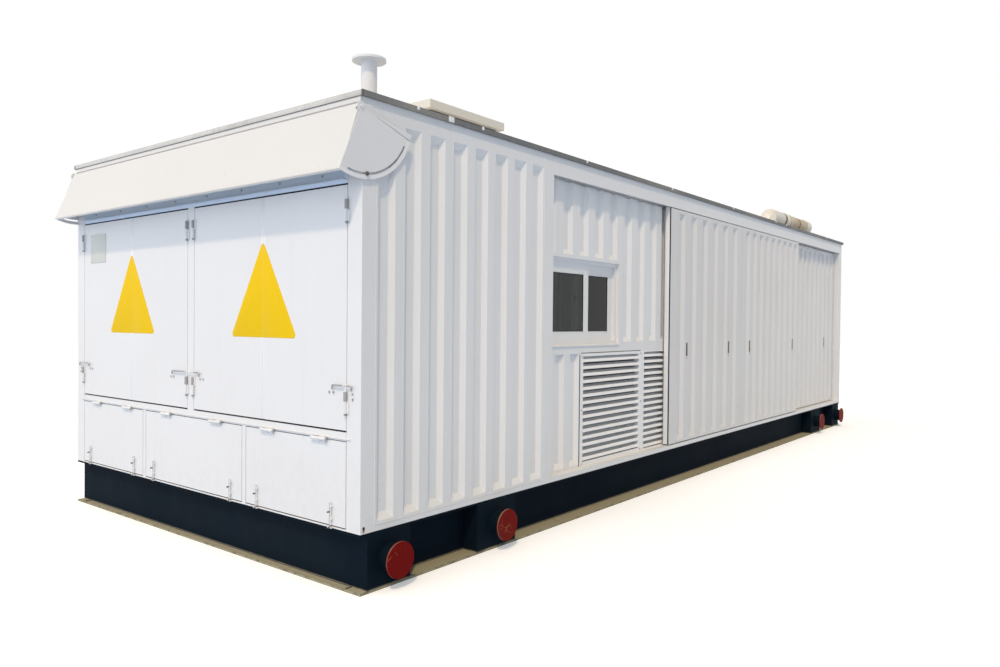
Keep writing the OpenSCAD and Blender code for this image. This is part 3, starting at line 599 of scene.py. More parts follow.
class Sketch:
    """Solid shapes gathered for one piece, in the frame's metres."""

    def __init__(self) -> None:
        """Starts empty."""
        self.mesh = bmesh.new()

    def _round_off(self, edges: Sequence[bmesh.types.BMEdge], edge: float) -> None:
        """Rounds some edges of the mesh."""
        bmesh.ops.bevel(self.mesh, geom=edges, offset=edge, offset_type="OFFSET", segments=2,
                        profile=0.5, affect="EDGES", clamp_overlap=True)

    def box(self, low: Point, high: Point, edge: float = 0.0015) -> "Sketch":
        """Adds a block with rounded edges.

        Args:
            low: its lowest corner.
            high: its highest corner.
            edge: the edges' rounding.

        Returns:
            The sketch itself, as from each of its shapes.
        """
        made = bmesh.ops.create_cube(self.mesh, size=1.0)["verts"]
        for vert in made:
            vert.co = Vector([(a + b) / 2 + c * (b - a) for c, a, b in zip(vert.co, low, high)])
        if edge > 0:
            chosen = set(made)
            self._round_off([e for e in self.mesh.edges if chosen.issuperset(e.verts)
                             and len(e.link_faces) == 2 and e.calc_face_angle(0.0) > SHARP], edge)
        return self

    def prism(self, outline: Sequence[Flat], axis: Axis, start: float, end: float,
              edge: float = 0.0) -> "Sketch":
        """Adds a straight solid over an outline.

        Args:
            outline: points across the axis, in the order of the frame's other two axes.
            axis: the axis that the solid runs along.
            start: where it starts on that axis.
            end: where it ends.
            edge: rounding of its edges.
        """
        at = axis.value
        low, high = ([self.mesh.verts.new((*point[:at], along, *point[at:])) for point in outline]
                     for along in (start, end))
        count = len(outline)
        faces = [self.mesh.faces.new(low), self.mesh.faces.new(high)]
        faces += [self.mesh.faces.new((low[i], low[(i + 1) % count], high[(i + 1) % count], high[i]))
                  for i in range(count)]
        bmesh.ops.recalc_face_normals(self.mesh, faces=faces)
        if edge > 0:
            self._round_off([e for e in self.mesh.edges
                             if any(f in faces[:2] for f in e.link_faces)], edge)
        return self

    def rod(self, points: Sequence[Point], radius: float, bend: float = 0.0, sides: int = 10) -> "Sketch":
        """Adds a round bar along a path.

        Args:
            points: the path's corners.
            radius: the bar's radius.
            bend: the radius of its bends, or 0 for sharp mitres.
            sides: faces round the bar.
        """
        path = self._bent([Vector(p) for p in points], bend)
        taper, stand = 0.72, 0.28
        rings = []
        side = None
        for i, spot in enumerate(path):
            ahead = (path[i + 1] - spot).normalized() if i + 1 < len(path) else None
            behind = (spot - path[i - 1]).normalized() if i else None
            along = ((ahead or behind) + (behind or ahead)).normalized()
            if side is None:
                side = along.orthogonal().normalized()
            side = (side - along * side.dot(along)).normalized()
            up = along.cross(side)
            rounds = [(1.0, 0.0)]
            if behind is None:
                rounds.insert(0, (taper, -stand))
            if ahead is None:
                rounds.append((taper, stand))
            for share, out in rounds:
                centre = spot + along * radius * out
                rings.append([self.mesh.verts.new(centre + (side * a + up * b) * share)
                              for a, b in ring(sides, radius)])
        faces = [self.mesh.faces.new(rings[0]), self.mesh.faces.new(rings[-1])]
        for one, two in zip(rings, rings[1:]):
            faces += [self.mesh.faces.new((one[k], one[(k + 1) % sides], two[(k + 1) % sides], two[k]))
                      for k in range(sides)]
        bmesh.ops.recalc_face_normals(self.mesh, faces=faces)
        return self

    @staticmethod
    def _bent(path: list[Vector], bend: float, steps: int = 4) -> list[Vector]:
        """Rounds a path's inner corners.

        Args:
            path: its corners.
            bend: the bends' radius.
            steps: straight pieces in each bend.

        Returns:
            The path's points, with those of its bends.
        """
        if bend <= 0 or len(path) < 3:
            return path
        out = [path[0]]
        for before, here, after in zip(path, path[1:], path[2:]):
            back, on = (before - here), (after - here)
            reach = min(bend, back.length * 0.45, on.length * 0.45)
            start, end = here + back.normalized() * reach, here + on.normalized() * reach
            for k in range(steps + 1):
                t = k / steps
                out.append(start.lerp(here, t).lerp(here.lerp(end, t), t))
        out.append(path[-1])
        return out

    def turned(self, profile: Sequence[Flat], base: Point, along: Point, sides: int = 32) -> "Sketch":
        """Adds a solid turned about an axis.

        Args:
            profile: (radius, distance along the axis) from the first end to the last; a
                radius of 0 at either end closes it in a point.
            base: the axis's start.
            along: the axis's direction.
            sides: faces round it.
        """
        axis = Vector(along).normalized()
        side = axis.orthogonal().normalized()
        up = axis.cross(side)
        rings = []
        for radius, distance in profile:
            centre = Vector(base) + axis * distance
            points = [centre + side * a + up * b for a, b in ring(sides, radius)]
            rings.append([self.mesh.verts.new(p) for p in (points if radius > 0 else [centre])])
        faces = []
        for one, two in zip(rings, rings[1:]):
            for k in range(sides):
                loop = [one[k % len(one)], one[(k + 1) % len(one)], two[(k + 1) % len(two)],
                        two[k % len(two)]]
                faces.append(self.mesh.faces.new(list(dict.fromkeys(loop))))
        faces += [self.mesh.faces.new(r) for r in (rings[0], rings[-1]) if len(r) > 1]
        bmesh.ops.recalc_face_normals(self.mesh, faces=faces)
        return self


# ------------ Geometry trees


class FastenerTree:
    """A tree that stands one fastener head on each point, turned to face out."""

    def __init__(self) -> None:
        """Builds the tree once."""
        self.tree, g, given, out = new_group(
            "fastener_heads",
            [("Points", Kind.GEOMETRY, None), ("Head Radius", Kind.FLOAT, 0.006),
             ("Head Height", Kind.FLOAT, 0.004), ("Sides", Kind.INT, 6),
             ("Washer Radius", Kind.FLOAT, 0.01), ("Washer Height", Kind.FLOAT, 0.0015),
             ("Seed", Kind.INT, 7), ("Finish", Kind.MATERIAL, None)],
            [("Geometry", Kind.GEOMETRY)], "GeometryNodeTree")
        shoulder = g.math("MULTIPLY", given["Head Radius"], 0.82)
        head = g.add("GeometryNodeMeshCone", None, Vertices=given["Sides"], Radius_Top=shoulder,
                     Radius_Bottom=given["Head Radius"], Depth=given["Head Height"])
        lift = g.add("ShaderNodeCombineXYZ", None, Z=given["Washer Height"])
        raised = g.add("GeometryNodeTransform", None, Geometry=head.outputs["Mesh"],
                       Translation=lift.outputs[0])
        rim = g.math("MULTIPLY", given["Washer Radius"], 0.94)
        washer = g.add("GeometryNodeMeshCone", None, Vertices=14, Radius_Top=rim,
                       Radius_Bottom=given["Washer Radius"], Depth=given["Washer Height"])
        whole = g.add("GeometryNodeJoinGeometry")
        for part in (raised.outputs[0], washer.outputs["Mesh"]):
            g.tree.links.new(part, whole.inputs[0])
        facing = g.add("GeometryNodeInputNamedAttribute", {"data_type": "FLOAT_VECTOR"}, Name="facing")
        turned = g.add("FunctionNodeAlignRotationToVector", {"axis": "Z"},
                       Vector=facing.outputs["Attribute"])
        placed = g.add("GeometryNodeInstanceOnPoints", None, Points=given["Points"],
                       Instance=whole.outputs[0], Rotation=turned.outputs[0])
        chance = g.add("FunctionNodeRandomValue", {"data_type": "FLOAT"}, Seed=given["Seed"])
        g.feed(chance.inputs[3], math.tau)
        spin = g.add("ShaderNodeCombineXYZ", None, Z=chance.outputs[1])
        spun = g.add("GeometryNodeRotateInstances", None, Instances=placed.outputs[0],
                     Rotation=spin.outputs[0])
        real = g.add("GeometryNodeRealizeInstances", None, Geometry=spun.outputs[0])
        coated = g.add("GeometryNodeSetMaterial", None, Geometry=real.outputs[0],
                       Material=given["Finish"])
        g.feed(out["Geometry"], coated.outputs[0])


class BeadTree:
    """A tree that lays a rippled bead of weld or sealant along edges."""

    def __init__(self) -> None:
        """Builds the tree once."""
        self.tree, g, given, out = new_group(
            "laid_bead",
            [("Paths", Kind.GEOMETRY, None), ("Bead Radius", Kind.FLOAT, 0.004),
             ("Pitch", Kind.FLOAT, 0.02), ("Ripple", Kind.FLOAT, 0.0015),
             ("Ripple Scale", Kind.FLOAT, 70.0), ("Finish", Kind.MATERIAL, None)],
            [("Geometry", Kind.GEOMETRY)], "GeometryNodeTree")
        curve = g.add("GeometryNodeMeshToCurve", None, Mesh=given["Paths"])
        steps = g.add("GeometryNodeResampleCurve", {"mode": "LENGTH"}, Curve=curve.outputs[0],
                      Length=given["Pitch"])
        round_bar = g.add("GeometryNodeCurvePrimitiveCircle", None, Resolution=6,
                          Radius=given["Bead Radius"])
        body = g.add("GeometryNodeCurveToMesh", None, Curve=steps.outputs[0],
                     Profile_Curve=round_bar.outputs[0], Fill_Caps=True)
        uneven = g.add("ShaderNodeTexNoise", None, Scale=given["Ripple Scale"], Detail=1.0)
        height = g.math("MULTIPLY", g.math("SUBTRACT", uneven.outputs[0], 0.4), given["Ripple"])
        normal = g.add("GeometryNodeInputNormal")
        push = g.add("ShaderNodeVectorMath", {"operation": "SCALE"}, i0=normal.outputs[0])
        g.feed(push.inputs["Scale"], height)
        moved = g.add("GeometryNodeSetPosition", None, Geometry=body.outputs[0],
                      Offset=push.outputs[0])
        soft = g.add("GeometryNodeSetShadeSmooth", None, Geometry=moved.outputs[0])
        real = g.add("GeometryNodeRealizeInstances", None, Geometry=soft.outputs[0])
        coated = g.add("GeometryNodeSetMaterial", None, Geometry=real.outputs[0],
                       Material=given["Finish"])
        g.feed(out["Geometry"], coated.outputs[0])


# ------------ Workshop


class Workshop:
    """Makes finishes and pieces, and puts each piece on its body."""

    def __init__(self) -> None:
        """Builds the shared groups and trees; materials follow on first use."""
        self.effects = Effects()
        self.fastener = FastenerTree()
        self.bead = BeadTree()
        self.made: dict[str, Material] = {}

    def finish(self, key: str) -> Material:
        """Finds the material of a finish, and builds it when first asked for.

        Args:
            key: the finish's key.

        Returns:
            Its material.
        """
        if key not in self.made:
            self.made[key] = FINISHES[key].build(self.effects)
        return self.made[key]

    def dress_frame(self) -> None:
        """Gives every node of the frame its finish, the container's where none is listed."""
        finishes = {name: key for key, names in FINISH_NODES.items() for name in names.split()}
        for name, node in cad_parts.items():
            key = finishes.get(name, "container")
            node.data.materials.clear()
            node.data.materials.append(self.finish(key))
            LOG.info("frame node %s is finished in %s", name, key)

    def _settle(self, name: str, mesh: Mesh, body: str, key: str) -> None:
        """Links a finished mesh as a piece that rides on a body.

        Args:
            name: the piece's name.
            mesh: its mesh.
            body: the body that it rides on.
            key: its finish.
        """
        piece = bpy.data.objects.new(name, mesh)
        bpy.context.scene.collection.objects.link(piece)
        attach(piece, body)
        LOG.info("%s: %d faces in %s on %s", name, len(mesh.polygons), key, body)

    def piece(self, name: str, sketch: Sketch, key: str, body: str = "housing") -> None:
        """Turns a sketch into a piece.

        Args:
            name: the piece's name.
            sketch: its shapes.
            key: its finish.
            body: the body that it rides on.
        """
        mesh = bpy.data.meshes.new(name)
        sketch.mesh.to_mesh(mesh)
        sketch.mesh.free()
        mesh.materials.append(self.finish(key))
        mesh.shade_smooth()
        mesh.set_sharp_from_angle(angle=CREASE)
        self._settle(name, mesh, body, key)

    def _grow(self, name: str, base: Mesh, tree: NodeTree, body: str, key: str,
              values: dict[str, float]) -> None:
        """Runs a geometry tree on a base mesh and settles the result as a piece.

        Args:
            name: the piece's name.
            base: points or edges that the tree starts from.
            tree: the geometry tree.
            body, key: the piece's body and finish.
            values: the tree's inputs, by name.
        """
        seed = bpy.data.objects.new(f"{name}_base", base)
        bpy.context.scene.collection.objects.link(seed)
        modifier = seed.modifiers.new("grow", "NODES")
        modifier.node_group = tree
        for item in tree.interface.items_tree:
            if item.in_out == "INPUT" and item.name in values:
                modifier[item.identifier] = values[item.name]
            if item.in_out == "INPUT" and item.name == "Finish":
                modifier[item.identifier] = self.finish(key)
        bpy.context.view_layer.update()
        graph = bpy.context.evaluated_depsgraph_get()
        mesh = bpy.data.meshes.new_from_object(seed.evaluated_get(graph), depsgraph=graph)
        mesh.name = name
        bpy.data.objects.remove(seed)
        self._settle(name, mesh, body, key)

    def fasteners(self, name: str, spots: Sequence[Facing], body: str = "housing",
                  key: str = "screw", radius: float = 0.006, height: float = 0.004,
                  sides: int = 6, washer: float = 1.6) -> None:
        """Stands a fastener head on each spot.

        Args:
            name: the piece's name.
            spots: (place, direction it faces) of each.
            body: the body that they ride on.
            key: their finish.
            radius: the head's radius.
            height: its height.
            sides: its number of sides.
            washer: the washer's radius over the head's.
        """
        mesh = bpy.data.meshes.new(f"{name}_spots")
        mesh.from_pydata([place for place, _ in spots], [], [])
        facing = mesh.attributes.new("facing", "FLOAT_VECTOR", "POINT")
        for item, (_, direction) in zip(facing.data, spots):
            item.vector = direction
        values = {"Head Radius": radius, "Head Height": height, "Sides": sides,
                  "Washer Radius": radius * washer, "Washer Height": height * 0.3,
                  "Seed": len(spots)}
        self._grow(name, mesh, self.fastener.tree, body, key, values)

    def beads(self, name: str, paths: Sequence[Sequence[Point]], key: str = "weld",
              radius: float = 0.004, pitch: float = 0.02, ripple: float = 0.002) -> None:
        """Lays a bead on the housing along each path.

        Args:
            name: the piece's name.
            paths: the corners of each path.
            key: their finish.
            radius: the bead's radius.
            pitch: length of its steps.
            ripple: how uneven it is.
        """
        verts, edges = [], []
        for path in paths:
            edges += [(len(verts) + i, len(verts) + i + 1) for i in range(len(path) - 1)]
            verts += path
        mesh = bpy.data.meshes.new(f"{name}_paths")
        mesh.from_pydata(verts, edges, [])
        values = {"Bead Radius": radius, "Pitch": pitch, "Ripple": ripple}
        self._grow(name, mesh, self.bead.tree, "housing", key, values)


@dataclass
class Assembly:
    """A sub-assembly that builds and dresses its own pieces.

    Attributes:
        shop: where its pieces are made.
    """

    shop: Workshop

    def steps(self) -> tuple:
        """The methods that make its pieces, in order, as each sub-assembly says."""
        raise NotImplementedError

    def build(self) -> None:
        """Makes the pieces, one step after the other."""
        for step in self.steps():
            step()


# ------------ Door end


def clipped(outline: Sequence[Flat], limit: float, side: int) -> list[Flat]:
    """The part of an outline on one side of a line across its first coordinate.

    Args:
        outline: the outline's points.
        limit: where the line is.
        side: 1 keeps what lies above it, -1 what lies below.

    Returns:
        The clipped outline.
    """
    kept: list[Flat] = []
    for here, after in zip(outline, [*outline[1:], outline[0]]):
        inside, next_inside = (here[0] - limit) * side >= 0, (after[0] - limit) * side >= 0
        if inside:
            kept.append(here)
        if inside != next_inside:
            t = (limit - here[0]) / (after[0] - here[0])
            kept.append((limit, here[1] + t * (after[1] - here[1])))
    return kept


@dataclass
class EndDoors(Assembly):
    """The four tall leaves of the door end: seals, strips, plates, holders, hinges and welds.

    Attributes:
        bite: clearance of a seal from the steel beside it.
        seal_depth, seam_depth: where the frame's seal and the seam's start, behind the face.
        seam_reach, strip_reach: how far the seam's strip and the edge strips reach over a gap.
        plate_levels, plate_gap: heights of a plate's foot and tip, and its reach over the gap.
        tag: the small tag's corners across the face.
        holder_out, holder_drop: distance of the holders' rods from the face, and their bent end.
        holder_reach, holder_post: where a leaf's rod and the post's hook end, from the hinge.
        barrel_drop: how far below a hinge the end of its pin shows.
    """

    bite: float = 0.0004
    seal_depth: Flat = (0.006, 0.030)
    seam_reach: float = 0.0078
    seam_depth: Flat = (0.0012, 0.024)
    strip_width: float = 0.022
    strip_reach: float = 0.0036
    strip_thick: float = 0.0006
    plate_base: float = 0.786
    plate_levels: Flat = (1.616, 2.306)
    plate_thick: float = 0.0014
    plate_corner: float = 0.023
    plate_gap: float = 0.0034
    tag: tuple[Flat, Flat] = ((1.435, 2.247), (1.725, 2.508))
    tag_inset: float = 0.014
    holder_z: float = 1.325
    holder_out: float = 0.016
    holder_rod: float = 0.0052
    holder_bend: float = 0.006
    holder_drop: float = 0.029
    holder_reach: tuple[float, ...] = (0.125, 0.095, 0.205, 0.125)
    holder_post: float = 0.062
    foot_thick: float = 0.003
    foot_pitch: float = 0.042
    barrel_levels: Flat = (1.22, 2.447)
    barrel_length: float = 0.071
    barrel_drop: float = 0.073
    barrel_radius: float = 0.0116
    pin_x: float = -5.512
    pin_inset: float = 0.003
    pin_tip: Outline = ((0.0, -0.016), (0.0075, -0.014), (0.0085, -0.006), (0.0085, 0.0),
                        (0.0, 0.001))

    def __post_init__(self) -> None:
        """Reads the places that the frame sets."""
        self.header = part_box("door_header")
        self.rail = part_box("door_mid_rail")
        self.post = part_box("door_centre_post")
        self.face = self.rail[0].x
        self.leaves = {i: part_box(f"end_door_{i}") for i in (1, 2, 3, 4)}
        self.low = self.leaves[1][0].z
        self.high = self.leaves[1][1].z

    def seam_side(self, i: int) -> tuple[float, int]:
        """Where a leaf's free edge is, and the direction from it back over the leaf."""
        low, high = self.leaves[i]
        return (high.y, -1) if i in (1, 3) else (low.y, 1)

    def pin(self, i: int) -> tuple[float, int]:
        """A leaf's hinge line and the direction from it over the leaf."""
        y = {1: self.header[0].y + self.pin_inset, 2: self.post[0].y - self.pin_inset,
             3: self.post[1].y + self.pin_inset, 4: self.header[1].y - self.pin_inset}[i]
        return y, 1 if i in (1, 3) else -1

    def seals(self) -> None:
        """Dark rubber above and below each pair of leaves, and a pale strip between the two."""
        rubber = Sketch()
        front, back = (self.face + depth for depth in self.seal_depth)
        for low, high in ((self.header[0].y, self.post[0].y), (self.post[1].y, self.header[1].y)):
            for z0, z1 in ((self.rail[1].z, self.low), (self.high, self.header[0].z)):
                rubber.box((front, low + self.bite, z0 + self.bite),
                           (back, high - self.bite, z1 - self.bite), edge=0.001)
        self.shop.piece("end_door_frame_seal", rubber, "seal")
        front, back = (self.face + depth for depth in self.seam_depth)
        for i in (1, 4):
            edge, over = self.seam_side(i)
            near, far = sorted((edge - over * self.bite, edge - over * self.seam_reach))
            seam = Sketch().box((front, near, self.low + 0.002), (back, far, self.high - 0.002),
                                edge=0.0006)
            self.shop.piece(f"end_door_{i}_seam_seal", seam, "strip", f"end_door_{i}")

    def strips(self) -> None:
        """A flat edge strip beside each seam."""
        for i in self.leaves:
            edge, over = self.seam_side(i)
            ys = sorted((edge - over * self.strip_reach, edge + over * self.strip_width))
            strip = Sketch().box((self.face - self.strip_thick, ys[0], self.low + 0.001),
                                 (self.face + 0.001, ys[1], self.high - 0.001), edge=0.0003)
            self.shop.piece(f"end_door_{i}_edge_strip", strip, "strip", f"end_door_{i}")

    def plates(self) -> None:
        """A bare yellow plate with rounded corners on each pair, cut along the seam."""
        foot, tip = self.plate_levels
        for left, right in ((1, 2), (3, 4)):
            middle = (self.seam_side(left)[0] + self.seam_side(right)[0]) / 2
            half = self.plate_base / 2
            outline = rounded([(middle - half, foot), (middle + half, foot), (middle, tip)],
                              self.plate_corner)
            for i, side in ((left, -1), (right, 1)):
                cut = self.seam_side(i)[0] - side * self.plate_gap
                plate = Sketch().prism(clipped(outline, cut, side), Axis.X,
                                       self.face - self.plate_thick, self.face - HAIR, edge=0.0003)
                self.shop.piece(f"end_door_{i}_plate", plate, "plate", f"end_door_{i}")

    def tags(self) -> None:
        """A small bare tag on the far leaf, on four rivets."""
        low, high = self.tag
        outline = rounded([low, (high[0], low[1]), high, (low[0], high[1])], radius=0.012)
        tag = Sketch().prism(outline, Axis.X, self.face - 0.003, self.face - HAIR, edge=0.0006)
        self.shop.piece("end_door_4_tag", tag, "tag", "end_door_4")
        inset = self.tag_inset
        spots = [((self.face - 0.0028, y, z), OUT_OF_END)
                 for y in (low[0] + inset, high[0] - inset) for z in (low[1] + inset, high[1] - inset)]
        self.shop.fasteners("end_door_4_tag_rivets", spots, "end_door_4", radius=0.004,
                            height=0.002, sides=12, washer=1.2)

    def foot_plate(self, sketch: Sketch, y: float, half: float, drop: float) -> None:
        """Adds the plate under a rod's end.

        Args:
            sketch: where the plate goes.
            y: its middle.
            half: half of its width.
            drop: how far below the rod it ends.
        """
        sketch.box((self.face - self.foot_thick, y - half, self.holder_z - drop),
                   (self.face - HAIR, y + half, self.holder_z - 0.034))

    def holders(self) -> None:
        """Sleeves, foot plates and bolts of the rods that hold each leaf."""
        out, z, t = self.face - self.holder_out, self.holder_z, self.foot_thick
        bolt = {"key": "latch", "radius": 0.0055, "height": 0.004}
        for i in self.leaves:
            y, over = self.pin(i)
            sleeve, feet, spots = Sketch(), Sketch(), []
            start, end = y + over * 0.021, y + over * self.holder_reach[i - 1]
            sleeve.rod([(out, start, z), (out, end, z), (out, end, z - self.holder_drop)],
                       self.holder_rod, self.holder_bend)
            for dy in (0.0, self.foot_pitch):
                foot = end + over * dy
                self.foot_plate(feet, foot, half=0.010, drop=0.064)
                spots.append(((self.face - t, foot, z - 0.049), OUT_OF_END))
            leaf = f"end_door_{i}"
            self.shop.piece(f"{leaf}_holder_sleeve", sleeve, "latch", leaf)
            self.shop.piece(f"{leaf}_holder_feet", feet, "container", leaf)
            self.shop.fasteners(f"{leaf}_holder_bolts", spots, leaf, **bolt)
            if i in (2, 3):
                continue
            bracket, hook = Sketch(), Sketch()
            start, end = y - over * 0.017, y - over * self.holder_post
            hook.rod([(out, start, z), (out, end, z), (out, end, z - self.holder_drop)],
                     self.holder_rod, self.holder_bend)
            self.foot_plate(bracket, end, half=0.011, drop=0.100)
            spots = [((self.face - t, end, z - dz), OUT_OF_END) for dz in (0.052, 0.084)]
            self.shop.piece(f"{leaf}_post_hook", hook, "latch")
            self.shop.piece(f"{leaf}_post_bracket", bracket, "container")
            self.shop.fasteners(f"{leaf}_bracket_bolts", spots, **bolt)

    def hinges(self) -> None:
        """Grey sleeves on the upper half of each barrel and the pin's end below it."""
        r, upper = self.barrel_radius, self.barrel_length
        profile = [(r - 0.002, 0.003), (r, 0.006), (r, upper - 0.005), (r - 0.003, upper),
                   (0.0, upper + 0.004)]
        for i in self.leaves:
            y, _ = self.pin(i)
            sleeve, tip = Sketch(), Sketch()
            for z in self.barrel_levels:
                sleeve.turned(profile, (self.pin_x, y, z), UP, sides=20)
                tip.turned(self.pin_tip, (self.pin_x, y, z - self.barrel_drop), UP, sides=16)
            self.shop.piece(f"end_door_{i}_barrel_sleeves", sleeve, "latch", f"end_door_{i}")
            self.shop.piece(f"end_door_{i}_pin_ends", tip, "latch")

    def welds(self) -> None:
        """Weld beads beside the header, under its middle and at the ends of the mid rail."""
        x, z = self.face - 0.0005, self.header[0].z
        paths = [[(x, y, z), (x, y, self.header[1].z - 0.03)]
                 for y in (self.header[0].y, self.header[1].y)]
        paths += [[(x, s * 0.045, z), (x, s * 0.045, z + 0.001)] for s in SIDES]
        paths += [[(x, y, self.rail[0].z + 0.002), (x, y, self.rail[1].z - 0.002)]
                  for y in (self.rail[0].y, self.rail[1].y)]
        self.shop.beads("door_frame_welds", paths, radius=0.003)

    def steps(self) -> tuple:
        """The steps, in order."""
        return (self.seals, self.strips, self.plates, self.tags, self.holders, self.hinges,
                self.welds)


@dataclass
class EndFlaps(Assembly):
    """The three low flaps under the doors: hinges, drop bolts, keepers, seals and a drip strip.

    Attributes:
        bolt_inset, bolt_out: a drop bolt's distance from the flap's edge and from the face.
        bolt_rod: how far the rod stands off the keeper's axis, and its radius.
        knob, pin_tip: profiles of a bolt's knob and of a hinge pin's end.
        hinge_share: how far in from a flap's edges its hinges are, as a share of its width.
        keeper_z: heights of a keeper's foot, top and collar.
        gap, bite: width of the joint beside a flap, and its seal's clearance.
    """

    bolt_inset: float = 0.139
    bolt_low: float = 0.408
    bolt_length: float = 0.150
    bolt_out: float = 0.010
    bolt_rod: Flat = (0.0038, 0.0026)
    knob: Outline = ((0.0042, 0.0), (0.0044, 0.014), (0.0065, 0.016), (0.0065, 0.0225),
                     (0.005, 0.024))
    hinge_share: float = 0.24
    barrel_half: float = 0.0735
    barrel_radius: float = 0.0118
    pin_x: float = -5.512
    pin_tip: Outline = ((0.0, -0.017), (0.0075, -0.015), (0.009, -0.004), (0.006, 0.002))
    sill_z: float = 0.4004
    keeper_z: Point = (0.3905, 0.3995, 0.4001)
    gap: float = 0.0056
    bite: float = 0.0004

    def __post_init__(self) -> None:
        """Reads the places that the frame sets."""
        self.flaps = {i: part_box(f"end_flap_{i}") for i in (1, 2, 3)}
        self.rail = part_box("door_mid_rail")
        self.face = self.rail[0].x
        self.pin_z = self.rail[0].z - 0.003

    def hinge_places(self, i: int) -> list[float]:
        """Where a flap's two hinges are along Y."""
        low, high = (corner.y for corner in self.flaps[i])
        return [low + (high - low) * self.hinge_share, high - (high - low) * self.hinge_share]

    def bolt_places(self, i: int) -> list[float]:
        """Where a flap's two drop bolts are along Y."""
        low, high = self.flaps[i]
        return [low.y + self.bolt_inset, high.y - self.bolt_inset]

    def hinges(self) -> None:
        """White barrels over the knuckles, with a bent pin end towards the near side."""
        r, length = self.barrel_radius, 2 * self.barrel_half
        profile = [(r - 0.004, 0.0), (r, 0.003), (r, length - 0.003), (r - 0.004, length)]
        for i in self.flaps:
            barrel, pin = Sketch(), Sketch()
            for y in self.hinge_places(i):
                x, start, z = self.pin_x, y - self.barrel_half, self.pin_z
                barrel.turned(profile, (x, start, z), ALONG_Y, sides=20)
                pin.turned(self.pin_tip, (x, start, z), ALONG_Y, sides=14)
                pin.rod([(x - 0.004, start - 0.004, z), (x - 0.006, start - 0.014, z - 0.020)],
                        radius=0.004)
            self.shop.piece(f"end_flap_{i}_hinge_barrels", barrel, "container")
            self.shop.piece(f"end_flap_{i}_hinge_pins", pin, "latch", f"end_flap_{i}")

    def bolts(self) -> None:
        """Thin dark rods along the front of the drop bolts' rods, and their knobs."""
        out, (stand, radius) = self.face - self.bolt_out, self.bolt_rod
        foot, top = self.bolt_low + 0.001, self.bolt_low + self.bolt_length - 0.001
        for i in self.flaps:
            rods = Sketch()
            for y in self.bolt_places(i):
                rods.rod([(out - stand, y, foot), (out - stand, y, top)], radius)
                rods.turned(self.knob, (out, y, self.bolt_low + self.bolt_length * 0.6), OUT_OF_END,
                            sides=14)
            self.shop.piece(f"end_flap_{i}_drop_bolts", rods, "dark", f"end_flap_{i}")

    def keepers(self) -> None:
        """Dark collars and tongues on the keepers under the drop bolts."""
        foot, top, collar = self.keeper_z
        sketch = Sketch()
        for y in (y for i in self.flaps for y in self.bolt_places(i)):
            sketch.turned([(0.0085, 0.0), (0.0085, 0.003), (0.0075, 0.004)],
                          (self.face - self.bolt_out, y, collar), UP, sides=16)
            sketch.box((self.face - 0.0212, y - 0.012, foot), (self.face - 0.0198, y + 0.012, top))
        self.shop.piece("flap_bolt_keepers", sketch, "dark")

    def seals(self) -> None:
        """Rubber in the gaps at the flaps' sides and feet."""
        sketch = Sketch()
        front, back = self.face + 0.004, self.face + 0.022
        for low, high in self.flaps.values():
            sketch.box((front, low.y, self.sill_z), (back, high.y, low.z - self.bite), edge=0.001)
            for y0, y1 in ((low.y - self.gap, low.y - self.bite),
                           (high.y + self.bite, high.y + self.gap)):
                sketch.box((front, y0, 0.402), (back, y1, self.rail[0].z - 0.001), edge=0.001)
        self.shop.piece("end_flap_seals", sketch, "seal")

    def drip(self) -> None:
        """A thin drip strip on the mid rail, over the hinge line."""
        low, high = self.rail
        z = low.z + 0.012
        strip = Sketch().box((self.face - 0.009, low.y - 0.045, z),
                             (self.face + 0.0005, high.y + 0.045, z + 0.004), edge=0.001)
        self.shop.piece("flap_drip_strip", strip, "container")

    def steps(self) -> tuple:
        """The steps, in order."""
        return self.hinges, self.bolts, self.keepers, self.seals, self.drip


